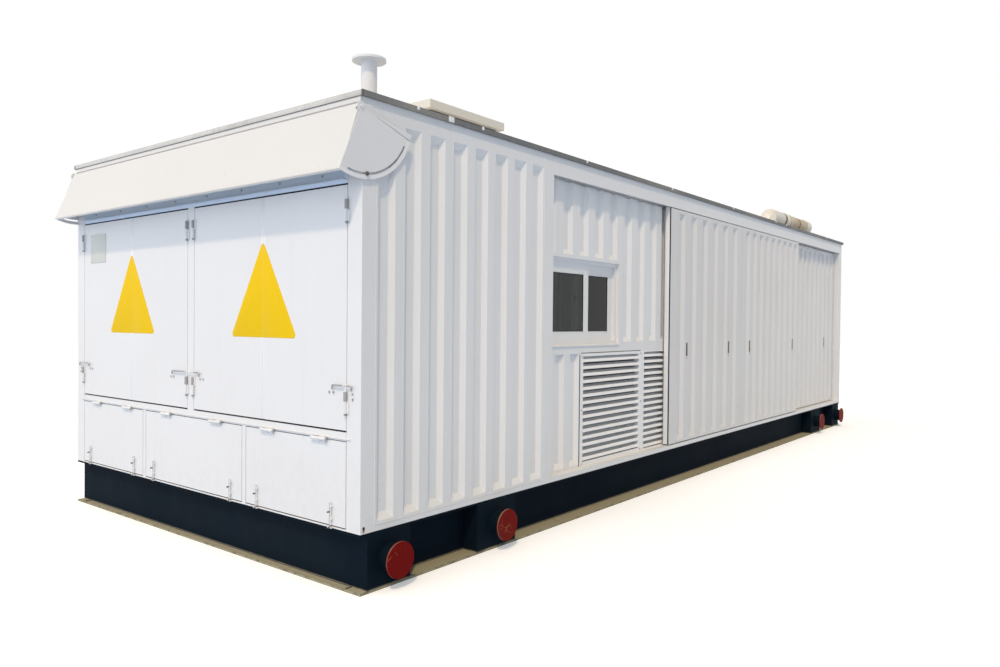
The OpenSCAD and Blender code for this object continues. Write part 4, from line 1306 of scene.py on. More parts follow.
@dataclass
class RainHood(Assembly):
    """The tilting hood over the doors: rims, hem, cover, webs, a lip seal that paints a shade line,
    clamps and drip screws.

    Attributes:
        pivot, clamp: the hood's axis and the clamping bolt's, across Y.
        slant: the panel's lean from upright, in degrees.
        rim_span, hem_angle: ends of the pale band and place of the hem, in degrees.
        ribs: where the stiffening rods start and end, as radius and degrees.
        cover: two covers over the pivot tube, each as an outline along and out from the panel,
            and half of its length.
        web_angles: where the web above each side plate runs, in degrees.
    """

    screw_pitch: float = 0.45
    screw_x: float = -5.503
    drip_middle: float = 2.684
    pivot: Flat = (-5.526, 3.075)
    slant: float = 23.0
    clamp: Flat = (-5.480, 2.6626)
    rim_inner: float = 0.4285
    rim_outer: float = 0.4495
    rim_thick: float = 0.0008
    rim_span: Flat = (-70.0, 22.0)
    hem_angle: float = 22.6
    ribs: tuple[Flat, Flat] = ((0.42, 21.5), (0.08, 18.5))
    cover: tuple[tuple[Outline, float], ...] = (
        (((0.030, 0.0165), (0.262, -0.0002), (0.030, -0.0002)), 2.0117),
        (((-0.009, 0.0202), (0.031, 0.0165), (0.031, 0.0152), (-0.008, 0.0186),
          (-0.017, 0.0100), (-0.0186, 0.0112)), 1.991))
    seal_end: float = 2.008
    web_angles: tuple[float, ...] = (-71.5, -73.5, -75.5, -77.5)
    web_thick: float = 0.0038

    def __post_init__(self) -> None:
        """Reads the places that the frame sets."""
        self.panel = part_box("hood_panel")
        self.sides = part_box("hood_side_plates")
        self.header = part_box("door_header")

    def spoke(self, radius: float, angle: float) -> Flat:
        """A point in the XZ plane, its angle from straight down and outward positive."""
        turn = math.radians(angle)
        return self.pivot[0] - radius * math.sin(turn), self.pivot[1] - radius * math.cos(turn)

    def on_panel(self, along: float, out: float) -> Flat:
        """A point in the XZ plane, along the panel from the pivot and out from its face."""
        turn = math.radians(self.slant)
        return (self.pivot[0] - along * math.sin(turn) - out * math.cos(turn),
                self.pivot[1] - along * math.cos(turn) + out * math.sin(turn))

    def rims(self) -> None:
        """A pale band between the arc slot and the edge of each side plate."""
        angles = between(*self.rim_span, 40)
        outline = [self.spoke(self.rim_outer, a) for a in angles]
        outline += [self.spoke(self.rim_inner, a) for a in reversed(angles)]
        for name, face, s in (("front", self.sides[0].y, -1), ("back", self.sides[1].y, 1)):
            ys = sorted((face + s * self.rim_thick, face - s * 0.001))
            rim = Sketch().prism(outline, Axis.Y, *ys)
            self.shop.piece(f"hood_rim_{name}", rim, "strip", "rain_hood")

    def edges(self) -> None:
        """A rounded hem along the lip, and four stiffening rods on the panel's inner side."""
        hem = Sketch()
        y0, y1 = self.panel[0].y + 0.006, self.panel[1].y - 0.006
        x, z = self.spoke(self.rim_outer - 0.006, self.hem_angle)
        hem.rod([(x, y0, z), (x, y1, z)], radius=0.0042, sides=12)
        low, high = (self.spoke(*end) for end in self.ribs)
        for y in between(-1.35, 1.35, 4):
            hem.rod([(low[0], y, low[1]), (high[0], y, high[1])], radius=0.005, sides=8)
        self.shop.piece("hood_hem", hem, "hood", "rain_hood")

    def drip_screws(self) -> None:
        """Small screws along the drip angle over the doors."""
        y0, y1 = self.header[0].y + 0.02, self.header[1].y - 0.02
        spots = [((self.screw_x, y, self.drip_middle), OUT_OF_END)
                 for y in spaced(y0, y1, self.screw_pitch)]
        self.shop.fasteners("over_door_drip_screws", spots, radius=0.0065, height=0.005, sides=12)

    def covers(self) -> None:
        """A cover sheet from the pivot tube onto the panel, a black lip seal that paints the shade line
        behind the lip, and the side webs.
        """
        sheet = Sketch()
        for profile, end in self.cover:
            sheet.prism([self.on_panel(*point) for point in profile], Axis.Y, -end, end)
        self.shop.piece("hood_pivot_cover", sheet, "hood", "rain_hood")
        # Painted shade: a black strip behind the lip draws the shade line there.
        x, z = self.on_panel(along=0.4465, out=-0.0215)
        seal = Sketch().rod([(x, -self.seal_end, z), (x, self.seal_end, z)], radius=0.0036)
        self.shop.piece("hood_lip_shade_seal", seal, "seal", "rain_hood")
        first, last = self.web_angles[0], self.web_angles[-1]
        arc = [self.spoke(self.rim_outer, a) for a in self.web_angles]
        for name, low, high in (("front", self.sides[0].y, self.sides[0].y + self.web_thick),
                                ("back", self.sides[1].y - self.web_thick, self.sides[1].y)):
            web = Sketch().prism([self.spoke(0.02, first), *arc, self.spoke(0.03, last)], Axis.Y,
                                 low, high)
            self.shop.piece(f"hood_side_web_{name}", web, "container", "rain_hood")

    def clamps(self) -> None:
        """Dark washers and nuts on the clamping bolts in the arc slots."""
        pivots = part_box("hood_pivots")
        x, z = self.clamp
        washer = [(0.0134, -0.0078), (0.0134, 0.0002), (0.0, 0.0006)]
        heads, spots = Sketch(), []
        for s, face in ((-1, pivots[0].y + 0.001), (1, pivots[1].y - 0.001)):
            heads.turned(washer, (x, face, z), (0, s, 0), sides=24)
            spots.append(((x, face + s * HAIR, z), (0, s, 0)))
        self.shop.piece("hood_clamp_washers", heads, "dark")
        self.shop.fasteners("hood_clamp_nuts", spots, key="dark", radius=0.0085, height=0.006)

    def steps(self) -> tuple:
        """The steps, in order."""
        return self.rims, self.edges, self.drip_screws, self.covers, self.clamps


# ------------ Long side


@dataclass
class SideDoors(Assembly):
    """The three sliding leaves: flush pulls with their locks, scrapes, and the first leaf's edge.

    Attributes:
        pull_z, pulls: height of the pulls, and the leaf and place along X of each.
        scrapes: the scraped leaves, each as its number, start along X, reach and count.
        scrape_z: height of the lowest scrape and the reach above it.
        rubbed: the stretches along X where the second leaf is rubbed.
        edge_seal, edge_past: where the first leaf's corner seal starts and ends behind its
            face, and how far its edge sheet reaches past its back.
    """

    pull_z: float = 1.455
    pull_high: float = 0.144
    pull_wide: float = 0.046
    pull_deep: float = 0.012
    pull_rim: float = 0.0045
    pulls: tuple[tuple[int, float], ...] = ((1, -0.738), (1, 0.462), (2, 1.174), (2, 2.910),
                                            (3, 3.176), (3, 4.818))
    scrape_seed: int = 11
    scrapes: tuple[tuple[int, float, float, int], ...] = ((1, 0.70, 0.13, 4), (2, 0.90, 0.30, 9))
    scrape_z: Flat = (0.50, 0.35)
    rubbed: tuple[Flat, ...] = ((0.90, 0.985), (1.16, 1.2))
    edge_seal: Flat = (0.0006, 0.0158)
    edge_past: float = 0.021

    def __post_init__(self) -> None:
        """Reads the places that the frame sets."""
        self.leaves = {i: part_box(f"side_door_{i}") for i in (1, 2, 3)}

    def flush_pulls(self) -> None:
        """A dark cup in each pull's pocket, a thin rim round it and a lock below it."""
        w, half_wide, half_high = self.pull_rim, self.pull_wide / 2, self.pull_high / 2
        z0, z1 = self.pull_z - half_high, self.pull_z + half_high
        bite = 0.0004
        for i, (low, _) in self.leaves.items():
            rims, cups = Sketch(), Sketch()
            face = low.y
            for x in (at for leaf, at in self.pulls if leaf == i):
                x0, x1 = x - half_wide, x + half_wide
                for a, b in (((x0 - w, z0 - w), (x0, z1 + w)), ((x1, z0 - w), (x1 + w, z1 + w)),
                             ((x0, z0 - w), (x1, z0)), ((x0, z1), (x1, z1 + w))):
                    rims.box((a[0], face - 0.0015, a[1]), (b[0], face + 0.0003, b[1]), edge=0.0004)
                cups.box((x0 + bite, face + 0.004, z0 + bite),
                         (x1 - bite, face + self.pull_deep - bite, z1 - bite), edge=0.002)
                cups.box((x0 + 0.010, face - 0.0006, z0 + 0.0005),
                         (x1 - 0.010, face + 0.0045, z0 + 0.012), edge=0.001)
                cups.turned([(0.0075, -0.0003), (0.0075, 0.0015), (0.0, 0.002)],
                            (x, face, z0 - 0.026), OUT_OF_FRONT, sides=14)
            self.shop.piece(f"side_door_{i}_pull_rims", rims, "screw", f"side_door_{i}")
            self.shop.piece(f"side_door_{i}_pull_cups", cups, "pull", f"side_door_{i}")

    def graze(self) -> None:
        """Grazes low on the first two leaves, where they slide past each other."""
        chance = random.Random(self.scrape_seed)
        lowest, rise = self.scrape_z
        for i, start, reach, count in self.scrapes:
            marks = Sketch()
            face = self.leaves[i][0].y
            for _ in range(count):
                x, z = start + reach * chance.random(), lowest + rise * chance.random()
                along, tall = chance.uniform(0.012, 0.05), chance.uniform(0.002, 0.006)
                if i == 2 and not any(a < x < b for a, b in self.rubbed):
                    x = start + 0.05 * chance.random()
                marks.prism([(x, z), (x + along * 0.6, z - tall), (x + along, z),
                             (x + along * 0.5, z + tall)], Axis.Y, face - 0.0003, face + 0.0004)
            self.shop.piece(f"side_door_{i}_scrapes", marks, "latch", f"side_door_{i}")

    def edge_returns(self) -> None:
        """The first leaf's edge sheet, which narrows the gap to the wall, and its corner seal."""
        low, high = self.leaves[1]
        z0, z1 = low.z + 0.002, high.z - 0.002
        start, end = self.edge_seal
        fold = Sketch().box((low.x - 0.0006, low.y + 0.016, z0),
                            (low.x + 0.004, high.y + self.edge_past, z1), edge=0.0005)
        line = Sketch().box((low.x - 0.0004, low.y + start, z0), (low.x + 0.004, low.y + end, z1),
                            edge=0.0004)
        self.shop.piece("side_door_1_edge_return", fold, "strip", "side_door_1")
        self.shop.piece("side_door_1_edge_seal", line, "seal", "side_door_1")

    def steps(self) -> tuple:
        """The steps, in order."""
        return self.flush_pulls, self.graze, self.edge_returns


@dataclass
class Window(Assembly):
    """The sliding window: glazing beads, gaskets, latch and sill nosing.

    Attributes:
        sash_step: how far the rear sash stands behind the front one.
        bead_side, bead_rail, bead_foot: widths of the beads beside, above and below a pane.
        nosing: the sill nosing's outline, back from the surround's face and up from the frame.
    """

    sash_width: float = 0.690
    bar: float = 0.072
    sash_step: float = 0.024
    bead_side: float = 0.006
    bead_rail: float = 0.024
    bead_foot: float = 0.0144
    gasket: float = 0.006
    latch_z: float = 1.956
    nosing: Outline = ((-0.010, -0.010), (-0.010, -0.004), (0.028, 0.006),
                       (0.028, -0.0002), (-0.0002, -0.006))

    def __post_init__(self) -> None:
        """Reads the places that the frame sets."""
        self.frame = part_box("window_frame")
        self.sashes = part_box("window_sashes")

    def panes(self) -> list[tuple[Point, Point]]:
        """The low and high corner of each sash's glazed opening, on its outer face."""
        low, high = self.sashes
        out = []
        for k, x in enumerate((low.x, high.x - self.sash_width)):
            y = low.y + k * self.sash_step
            out.append(((x + self.bar, y, low.z + self.bar),
                        (x + self.sash_width - self.bar, y, high.z - self.bar)))
        return out

    def gaskets(self) -> None:
        """A black glazing gasket round each pane, inside its beads."""
        sketch = Sketch()
        for low, high in self.panes():
            inner = hoop((low[0] + self.bead_side, low[2] + self.bead_foot),
                         (high[0] - self.bead_side, high[2] - self.bead_rail),
                         self.gasket, self.gasket, self.gasket)
            for a, b in inner:
                sketch.box((a[0], low[1] + 0.004, a[1]), (b[0], low[1] + 0.0095, b[1]), edge=0.0008)
        self.shop.piece("window_gaskets", sketch, "seal")

    def beads(self) -> None:
        """Pale glazing beads inside each sash, deeper above and below the pane."""
        sketch = Sketch()
        for low, high in self.panes():
            for a, b in hoop((low[0], low[2]), (high[0], high[2]), self.bead_side, self.bead_foot,
                             self.bead_rail):
                sketch.box((a[0], low[1] + 0.0004, a[1]), (b[0], low[1] + 0.0085, b[1]))
        self.shop.piece("window_glazing_beads", sketch, "sash_bead")

    def latch(self) -> None:
        """The latch on the rear sash's stile, seen through the front pane."""
        low, high = self.sashes
        x, y, z = high.x - self.sash_width + 0.016, low.y + 0.0238, self.latch_z
        latch = Sketch().box((x - 0.011, y - 0.004, z - 0.032), (x + 0.011, y, z + 0.032), 0.001)
        latch.box((x - 0.022, y - 0.008, z + 0.006), (x + 0.024, y - 0.004, z + 0.020), edge=0.001)
        self.shop.piece("window_latch", latch, "dark")

    def sill(self) -> None:
        """A sill nosing under the frame."""
        low, high = self.frame
        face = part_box("window_surround")[0].y
        nosing = Sketch().prism([(face + y, low.z + z) for y, z in self.nosing], Axis.X,
                                low.x - 0.02, high.x - 0.004)
        self.shop.piece("window_sill_nosing", nosing, "container")

    def steps(self) -> tuple:
        """The steps, in order."""
        return self.beads, self.gaskets, self.latch, self.sill


@dataclass
class Louvres(Assembly):
    """Folded blade lips of both louvres, and the large one's screws and sealant.

    Attributes:
        lip: a lip's outline, as place along Y and height from the blade's front edge.
        blades: each louvre's name, the widths of its side bars, the height of its lowest blade,
            the number of blades and their spacing.
        inset, margin: how far screws stand in from the plate's edges, and sealant out.
    """

    lip: Outline = ((0.0004, -0.0203), (0.0004, -0.016), (0.013, 0.0075), (0.034, 0.0078))
    blades: tuple[tuple[str, Flat, float, int, float], ...] = (
        ("large_louvre", (0.046, 0.060), 0.500, 15, 0.0643),
        ("small_louvre", (0.062, 0.040), 0.476, 16, 0.0625))
    inset: float = 0.026
    margin: float = 0.003

    def lips(self) -> None:
        """The steeper folded lip along the front of each blade."""
        for node, bars, first, count, pitch in self.blades:
            low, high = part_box(node)
            sketch = Sketch()
            for i in range(count):
                z = first + i * pitch
                sketch.prism([(low.y + y, z + up) for y, up in self.lip], Axis.X,
                             low.x + bars[0] + HAIR, high.x - bars[1] - HAIR)
            self.shop.piece(f"{node}_lips", sketch, "blade")

    def fixings(self) -> None:
        """Screws near the large louvre's edges, and sealant up its sides and over it."""
        low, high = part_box("large_louvre")
        spots = [((x, low.y, z), OUT_OF_FRONT) for x in (low.x + self.inset, high.x - self.inset)
                 for z in (low.z + self.inset, (low.z + high.z) / 2, high.z - self.inset)]
        self.shop.fasteners("large_louvre_screws", spots, radius=0.0075, height=0.005)
        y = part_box("small_louvre")[0].y - 0.001
        x0, x1, foot, top = (low.x - self.margin, high.x + self.margin, low.z + 0.005,
                             high.z + self.margin)
        path = [(x0, y, foot), (x0, y, top), (x1, y, top), (x1, y, foot)]
        self.shop.beads("large_louvre_sealant", [path], "seal", radius=0.0035,
                        pitch=0.04, ripple=0.0006)

    def steps(self) -> tuple:
        """The steps, in order."""
        return self.lips, self.fixings


# ------------ Skid


@dataclass
class Skid(Assembly):
    """Weld beads of the base frame and the worn rims of its red caps.

    Attributes:
        stub_places, stub_z: the lifting stubs' places along X, and their height.
        stub_root, stub_radius: where they meet their boxes, and radius of the weld there.
        rim: where a cap's worn rim starts behind its face, and the rim's width.
        web_inset, end_web_inset: how far a side or end beam's web stands in from its edge.
    """

    stub_places: tuple[float, ...] = (-5.248, -4.117, 4.117, 5.248)
    stub_z: float = 0.195
    stub_root: float = 1.999
    stub_radius: float = 0.0915
    rim: Flat = (0.0125, 0.011)
    web_inset: float = 0.145
    end_web_inset: float = 0.060
    flange: float = 0.016

    def caps(self) -> None:
        """A worn band round the rim of each red cap."""
        low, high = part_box("lifting_caps")
        rims = Sketch()
        radius = (high.z - low.z) / 2
        inner, outer = radius - 0.0005, radius + 0.0004
        back, width = self.rim
        profile = [(inner, 0.0), (outer, 0.001), (outer, width - 0.001), (inner, width)]
        for x in self.stub_places:
            for s, face in ((-1, low.y), (1, high.y)):
                rims.turned(profile, (x, face - s * back, self.stub_z), (0, s, 0), sides=64)
        self.shop.piece("lifting_cap_rims", rims, "cap_rim")

    def welds(self) -> None:
        """Beads where webs meet flanges, and where stubs meet their boxes."""
        side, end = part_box("side_beams"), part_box("end_beams")
        levels = (self.flange + 0.001, side[1].z - self.flange - 0.001)
        paths: list[list[Point]] = []
        for s in SIDES:
            y = s * (side[1].y - self.web_inset + 0.001)
            paths += [[(side[0].x + 0.01, y, z), (side[1].x - 0.01, y, z)] for z in levels]
            x = s * (end[1].x - self.end_web_inset + 0.001)
            paths += [[(x, end[0].y + 0.01, z), (x, end[1].y - 0.01, z)] for z in levels]
        self.shop.beads("beam_web_welds", paths, "weld_dark", radius=0.006, pitch=0.03,
                        ripple=0.003)
        rings = []
        for x in self.stub_places:
            for s in SIDES:
                circle = [(x + a, s * self.stub_root, self.stub_z + b)
                          for a, b in ring(28, self.stub_radius)]
                rings.append([*circle, circle[0]])
        self.shop.beads("stub_ring_welds", rings, "skid", radius=0.005, pitch=0.015, ripple=0.003)

    def steps(self) -> tuple:
        """The steps, in order."""
        return self.caps, self.welds


# ------------ Shell and roof


@dataclass
class Shell(Assembly):
    """Weld beads round the wall panels, and the earthing point.

    Attributes:
        proud: how far a weld's middle stands off the panels' faces.
        earth: the earthing hole's place, in and up from the corner post's foot.
        rust_run: outline of the rust below it, from the hole's middle.
    """

    proud: float = 0.0003
    earth: Flat = (0.028, 0.036)
    earth_hole_disc: Outline = ((0.0105, -0.0004), (0.0105, 0.0006), (0.006, 0.0010),
                           (0.0, 0.0010))
    rust_run: Outline = ((-0.010, -0.004), (-0.004, -0.011), (0.004, -0.011),
                         (0.011, -0.003), (0.007, -0.024), (0.002, -0.035),
                         (-0.002, -0.021), (-0.006, -0.030))

    def welds(self) -> None:
        """Beads where the front, back and far panels meet the rails and posts."""
        (low, high), (back_low, back_high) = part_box("front_wall"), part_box("back_wall")
        y = low.y - self.proud
        paths = [[(low.x, y, low.z), (high.x, y, low.z)]]
        paths += [[(x, y, low.z), (x, y, high.z)] for x in (low.x, high.x)]
        y = back_high.y + self.proud
        paths += [[(back_low.x, y, back_low.z), (back_high.x, y, back_low.z)]]
        low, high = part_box("far_end_wall")
        x = high.x + self.proud
        paths += [[(x, low.y, low.z), (x, high.y, low.z)]]
        paths += [[(x, y, low.z), (x, y, high.z - 0.02)] for y in (low.y, high.y)]
        self.shop.beads("panel_edge_welds", paths, radius=0.0028, ripple=0.0015)

    def earthing(self) -> None:
        """A dark disc at the near corner's earthing hole, a painted shade of the hole's inside, and the
        rust that runs from it.
        """
        low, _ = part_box("corner_posts")
        x, z = low.x + self.earth[0], low.z + self.earth[1]
        # Painted shade: the dark disc stands in for the shaded inside of the hole.
        hole_shade_disc = Sketch().turned(self.earth_hole_disc, (x, low.y, z), OUT_OF_FRONT, sides=20)
        self.shop.piece("earthing_hole_shade", hole_shade_disc, "seal")
        run = Sketch().prism([(x + a, z + b) for a, b in self.rust_run], Axis.Y, low.y - 0.0003,
                             low.y + 0.0003)
        self.shop.piece("earthing_rust_run", run, "rust")

    def steps(self) -> tuple:
        """The steps, in order."""
        return self.welds, self.earthing


@dataclass
class Roof(Assembly):
    """Trim clips, facing, joints and flashing, the hatch's painted-shade seal and its sealant, and the
    two pipes' fittings.

    Attributes:
        clips: the trim clips, as places along X, half width and height above the trim's foot.
        deck_z: height of the sealant round the hatch and round the pipes.
        hatch_gap, hatch_depth: the hatch's black seal, a painted shade, in from the lid's edge and down
            from its top.
        hatch_foot: how far the sealant round its foot stands in from the lid's edge.
        pipe, pipe_radius: start and radius of the exhaust pipe's straight length.
        necks, neck_depth: where its two bare necks start, and how much thinner they are.
        neck_band: how much thinner the bare pipe beside them is.
        dark_bands: darker bands beside each neck, as whether on the cladding, start and end.
        feet: place and radius of the sealant round each pipe's foot.
    """

    clips: tuple[tuple[tuple[float, ...], float, float], ...] = (
        ((-5.03, -4.35, -2.9, -1.2, 0.5, 2.05, 2.5, 4.5), 0.012, 0.016), ((-4.70,), 0.028, 0.002))
    flashing_foot: float = 3.101
    end_x: float = -5.5
    deck_z: Flat = (3.1630, 3.1635)
    hatch_gap: float = 0.050
    hatch_width: float = 0.011
    hatch_depth: Flat = (0.0735, 0.0625)
    hatch_foot: float = 0.044
    pipe: Point = (2.61, -1.75, 3.3285)
    pipe_radius: float = 0.1095
    necks: Flat = (0.605, 1.385)
    neck_depth: float = 0.020
    neck_band: float = 0.0075
    dark_bands: tuple[tuple[tuple[bool, float, float], ...], ...] = (
        ((True, -0.235, -0.160), (True, 0.036, 0.050)),
        ((False, -0.345, -0.285), (True, 0.036, 0.050)))
    heated: Flat = (0.072, 0.745)
    feet: tuple[tuple[Flat, float], ...] = (((-5.2, -1.72), 0.055), ((2.46, -1.75), 0.111))

    def trim_clips(self) -> None:
        """Small white clips that hold the trim along the long sides."""
        low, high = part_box("roof_trim")
        sketch = Sketch()
        for places, half, lift in self.clips:
            for x in places:
                for s, face in ((-1, low.y), (1, high.y)):
                    ys = sorted((face + s * 0.003, face - s * 0.022))
                    sketch.box((x - half, ys[0], low.z + lift), (x + half, ys[1], high.z + 0.003),
                               edge=0.002)
        self.shop.piece("roof_trim_clips", sketch, "strip")

    def end_facing(self) -> None:
        """A pale facing strip on the trim over the doors, and dark sealant in its mitres."""
        low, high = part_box("roof_trim")
        strip = Sketch().box((low.x - 0.0015, low.y + 0.014, low.z + 0.004),
                             (low.x + 0.0005, high.y - 0.014, high.z - 0.002), edge=0.0005)
        self.shop.piece("roof_trim_end_facing", strip, "facing")
        joint = Sketch()
        for sx, x, inset in ((-1, low.x, 0.0015), (1, high.x, 0.006)):
            for sy, y in ((-1, low.y), (1, high.y)):
                across = (x - sx * inset, y - sy * 0.0015)
                joint.rod([(*across, low.z + 0.001), (*across, high.z - 0.001)], radius=0.0055,
                          sides=8)
        self.shop.piece("roof_trim_joints", joint, "dark")

    def end_flashing(self) -> None:
        """A cream flashing under the trim that sheds water onto the hood."""
        trim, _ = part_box("roof_trim")
        x, top, foot = self.end_x, trim.z - 0.0005, self.flashing_foot
        outline = [(x + 0.0005, top), (x - 0.018, top), (x - 0.020, foot + 0.010),
                   (x - 0.013, foot), (x - 0.011, foot + 0.002), (x + 0.0005, foot + 0.018)]
        flashing = Sketch().prism(outline, Axis.Y, trim.y + 0.024, -trim.y - 0.024)
        self.shop.piece("end_roof_flashing", flashing, "hood")

    def hatch_seal(self) -> None:
        """Black rubber in the gap under the hatch's lid, which paints the shade line there, and sealant
        round its foot.
        """
        low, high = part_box("roof_hatch")
        z0, z1 = (high.z - depth for depth in self.hatch_depth)
        gap, width = self.hatch_gap, self.hatch_width
        # Painted shade: a black strip draws the shadow line under the lid.
        seal = Sketch()
        for a, b in hoop((low.x + gap, low.y + gap), (high.x - gap, high.y - gap), width, width, width):
            seal.box((*a, z0), (*b, z1), edge=0.001)
        self.shop.piece("roof_hatch_shade_seal", seal, "seal")
        x0, x1 = low.x + self.hatch_foot, high.x - self.hatch_foot
        y0, y1 = low.y + self.hatch_foot, high.y - self.hatch_foot
        path = [(x, y, self.deck_z[0])
                for x, y in ((x0, y0), (x1, y0), (x1, y1), (x0, y1), (x0, y0))]
        self.shop.beads("roof_hatch_sealant", [path], "pale_seal", radius=0.006, pitch=0.03)

    def pipe_rings(self) -> None:
        """Dark rings in the exhaust pipe's necks, a painted shade of their recesses, darker bands beside
        them, and its heated length.
        """
        rings = Sketch()
        full = self.pipe_radius
        base, sleeve = full - self.neck_depth, full - self.neck_band
        starts = [(self.pipe[0] + start, *self.pipe[1:]) for start in self.necks]
        for start, bands in zip(starts, self.dark_bands):
            # Painted shade: a dark ring down in each neck, where the recess lies in shade.
            rings.turned([(base - 0.002, 0.003), (base + 0.010, 0.004), (base + 0.010, 0.031),
                          (base - 0.002, 0.032)], start, ALONG_X, sides=48)
            # Darker bands beside each neck, in the same brown.
            for clad, a, b in bands:
                r = full if clad else sleeve
                rings.turned([(r - 0.001, a), (r + 0.0009, a + 0.001), (r + 0.0009, b - 0.001),
                              (r - 0.001, b)], start, ALONG_X, sides=48)
        self.shop.piece("exhaust_neck_shade_rings", rings, "scorched")
        a, b = self.heated
        warm = Sketch().turned([(sleeve - 0.001, a), (sleeve + 0.0006, a + 0.001),
                                (sleeve + 0.0006, b - 0.001), (sleeve - 0.001, b)], starts[0],
                               ALONG_X, sides=64)
        self.shop.piece("exhaust_heated_length", warm, "heated")

    def pipe_sealant(self) -> None:
        """Sealant round the feet of the vent stack and the exhaust pipe."""
        paths = []
        for (x, y), radius in self.feet:
            loop = [(x + a, y + b, self.deck_z[1]) for a, b in ring(32, radius)]
            paths.append([*loop, loop[0]])
        self.shop.beads("roof_pipe_sealant", paths, "pale_seal", radius=0.006)

    def steps(self) -> tuple:
        """The steps, in order."""
        return (self.trim_clips, self.end_facing, self.end_flashing, self.hatch_seal,
                self.pipe_rings, self.pipe_sealant)


# ------------ Studio


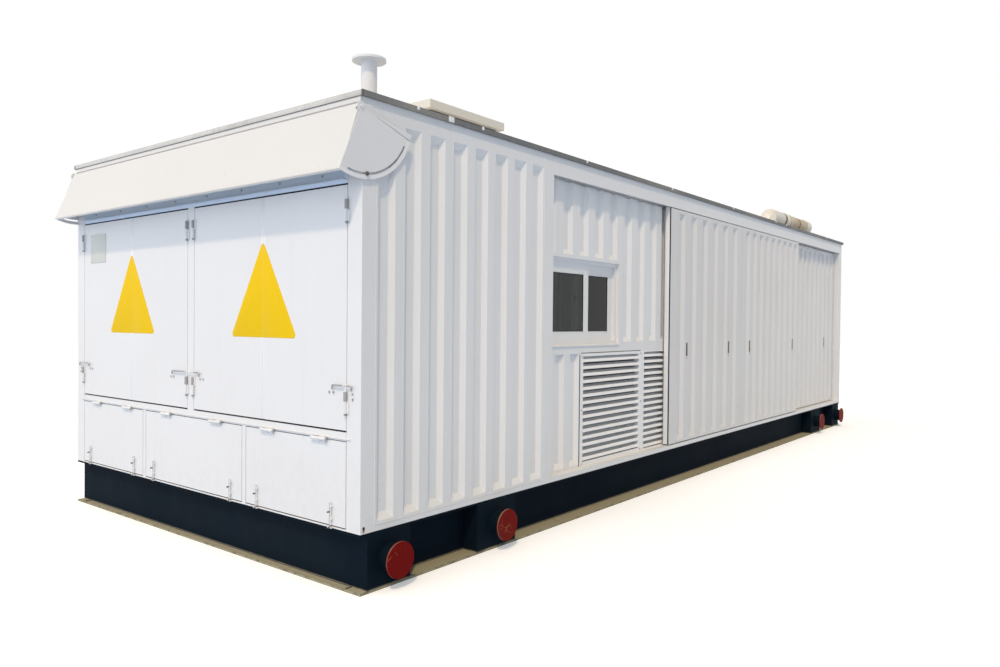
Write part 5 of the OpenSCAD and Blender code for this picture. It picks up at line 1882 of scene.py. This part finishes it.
@dataclass
class Studio:
    """The floor, the light and the camera.

    Attributes:
        eye, lens: the camera's place, and its focal length on a sensor 36 mm wide.
        yaw, pitch, roll: its heading from +X towards +Y, its tilt up, and about its own axis.
        sun_heading, sun_height, sun_spread: the key light's heading from -X towards -Y, its
            height and the angle that it fills, in degrees.
        fill_heading, fill_height, fill_spread: the same for the broad light.
        sky: the sky's light, as strength in each colour.
        floor_tone, floor_reach: the floor's colour to all but the camera, and half its width.
    """

    eye: Point = (-8.743, -5.670, 1.743)
    yaw: float = 38.32
    pitch: float = -0.874
    roll: float = 0.540
    lens: float = 27.675
    sun_heading: float = 36.0
    sun_height: float = 53.0
    sun_spread: float = 3.0
    sun_power: float = 1.62
    sun_colour: Colour = (1.0, 0.80, 0.56)
    fill_heading: float = -15.0
    fill_height: float = 22.0
    fill_spread: float = 110.0
    fill_power: float = 1.80
    fill_colour: Colour = (0.84, 0.86, 0.94)
    sky: Colour = (0.35, 0.375, 0.39)
    floor_tone: Colour = (0.58, 0.70, 0.90)
    floor_reach: float = 60.0

    def camera(self) -> None:
        """Places the camera and makes it the scene's."""
        yaw, pitch, roll = (math.radians(a) for a in (self.yaw, self.pitch, self.roll))
        ahead = Vector((math.cos(yaw) * math.cos(pitch), math.sin(yaw) * math.cos(pitch),
                        math.sin(pitch)))
        right = ahead.cross(Vector((0, 0, 1))).normalized()
        up = right.cross(ahead)
        right, up = (math.cos(roll) * right + math.sin(roll) * up,
                     math.cos(roll) * up - math.sin(roll) * right)
        turn = Matrix((right, up, -ahead)).transposed().to_4x4()
        data = bpy.data.cameras.new("camera")
        data.lens = self.lens
        data.sensor_width = 36.0
        data.clip_end = 300.0
        camera = bpy.data.objects.new("camera", data)
        camera.matrix_world = Matrix.Translation(self.eye) @ turn
        bpy.context.scene.collection.objects.link(camera)
        bpy.context.scene.camera = camera

    def lamp(self, name: str, heading: float, height: float, power: float, spread: float,
             colour: Colour) -> None:
        """Adds a distant lamp.

        Args:
            name: its name.
            heading, height: where it stands, from -X towards -Y and above the horizon.
            power, colour: its strength and colour.
            spread: the angle that it fills, in degrees like the other two.
        """
        data = bpy.data.lights.new(name, "SUN")
        data.energy = power
        data.angle = math.radians(spread)
        data.color = colour
        lamp = bpy.data.objects.new(name, data)
        turn, rise = math.radians(heading), math.radians(height)
        towards = Vector((-math.cos(turn) * math.cos(rise), -math.sin(turn) * math.cos(rise),
                          math.sin(rise)))
        lamp.rotation_euler = towards.to_track_quat("Z", "Y").to_euler()
        lamp.location = towards * 20.0
        bpy.context.scene.collection.objects.link(lamp)

    @staticmethod
    def seen(g: Graph) -> object:
        """A mask of the camera's rays and of those in gloss and through glass."""
        path = g.add("ShaderNodeLightPath").outputs
        both = g.math("MAXIMUM", path["Is Camera Ray"], path["Is Transmission Ray"])
        return g.math("MAXIMUM", both, path["Is Glossy Ray"])

    def background(self) -> None:
        """A sky that lights evenly and shows white to the camera, in gloss and through glass."""
        world = bpy.data.worlds.new("sky")
        world.use_nodes = True
        bpy.context.scene.world = world
        tree = world.node_tree
        tree.nodes.clear()
        g = Graph(tree)
        seen = self.seen(g)
        light = g.add("ShaderNodeBackground", None, Color=rgba(self.sky), Strength=1.0)
        white = g.add("ShaderNodeBackground", None, Color=(1, 1, 1, 1), Strength=1.0)
        both = g.add("ShaderNodeMixShader", None, i0=seen, i1=light.outputs[0], i2=white.outputs[0])
        g.add("ShaderNodeOutputWorld", None, Surface=both.outputs[0])

    def floor(self) -> None:
        """A plain pale floor that shows white to the camera and keeps the shadow."""
        reach = self.floor_reach
        mesh = bpy.data.meshes.new("floor")
        mesh.from_pydata([(-reach, -reach, 0), (reach, -reach, 0), (reach, reach, 0),
                          (-reach, reach, 0)], [], [(0, 1, 2, 3)])
        floor = bpy.data.objects.new("floor", mesh)
        material = bpy.data.materials.new("floor_pale")
        material.use_nodes = True
        tree = material.node_tree
        tree.nodes.clear()
        g = Graph(tree)
        seen = self.seen(g)
        tone = g.mix(seen, rgba(self.floor_tone), (0.9, 0.9, 0.9, 1))
        plain = g.add("ShaderNodeBsdfDiffuse", None, Color=tone)
        strength = g.math("MULTIPLY", seen, 0.3)
        glow = g.add("ShaderNodeEmission", None, Color=(1, 1, 1, 1), Strength=strength)
        both = g.add("ShaderNodeAddShader", None, i0=plain.outputs[0], i1=glow.outputs[0])
        g.add("ShaderNodeOutputMaterial", None, Surface=both.outputs[0])
        mesh.materials.append(material)
        bpy.context.scene.collection.objects.link(floor)

    def build(self) -> None:
        """Builds the whole studio."""
        self.camera()
        self.lamp("key", self.sun_heading, self.sun_height, self.sun_power, self.sun_spread,
                  self.sun_colour)
        self.lamp("fill", self.fill_heading, self.fill_height, self.fill_power, self.fill_spread,
                  self.fill_colour)
        self.background()
        self.floor()
        bpy.context.scene.view_settings.view_transform = "Standard"
        LOG.info("studio is ready")


def main() -> None:
    """Builds the studio, dresses the frame and adds each sub-assembly's fittings."""
    logging.basicConfig(level=logging.INFO, format="%(name)s: %(message)s")
    Studio().build()
    shop = Workshop()
    shop.dress_frame()
    for kind in (EndDoors, EndFlaps, RainHood, SideDoors, Window, Louvres, Skid, Shell, Roof):
        LOG.info("building %s", kind.__name__)
        kind(shop).build()


if __name__ == "__main__":
    main()
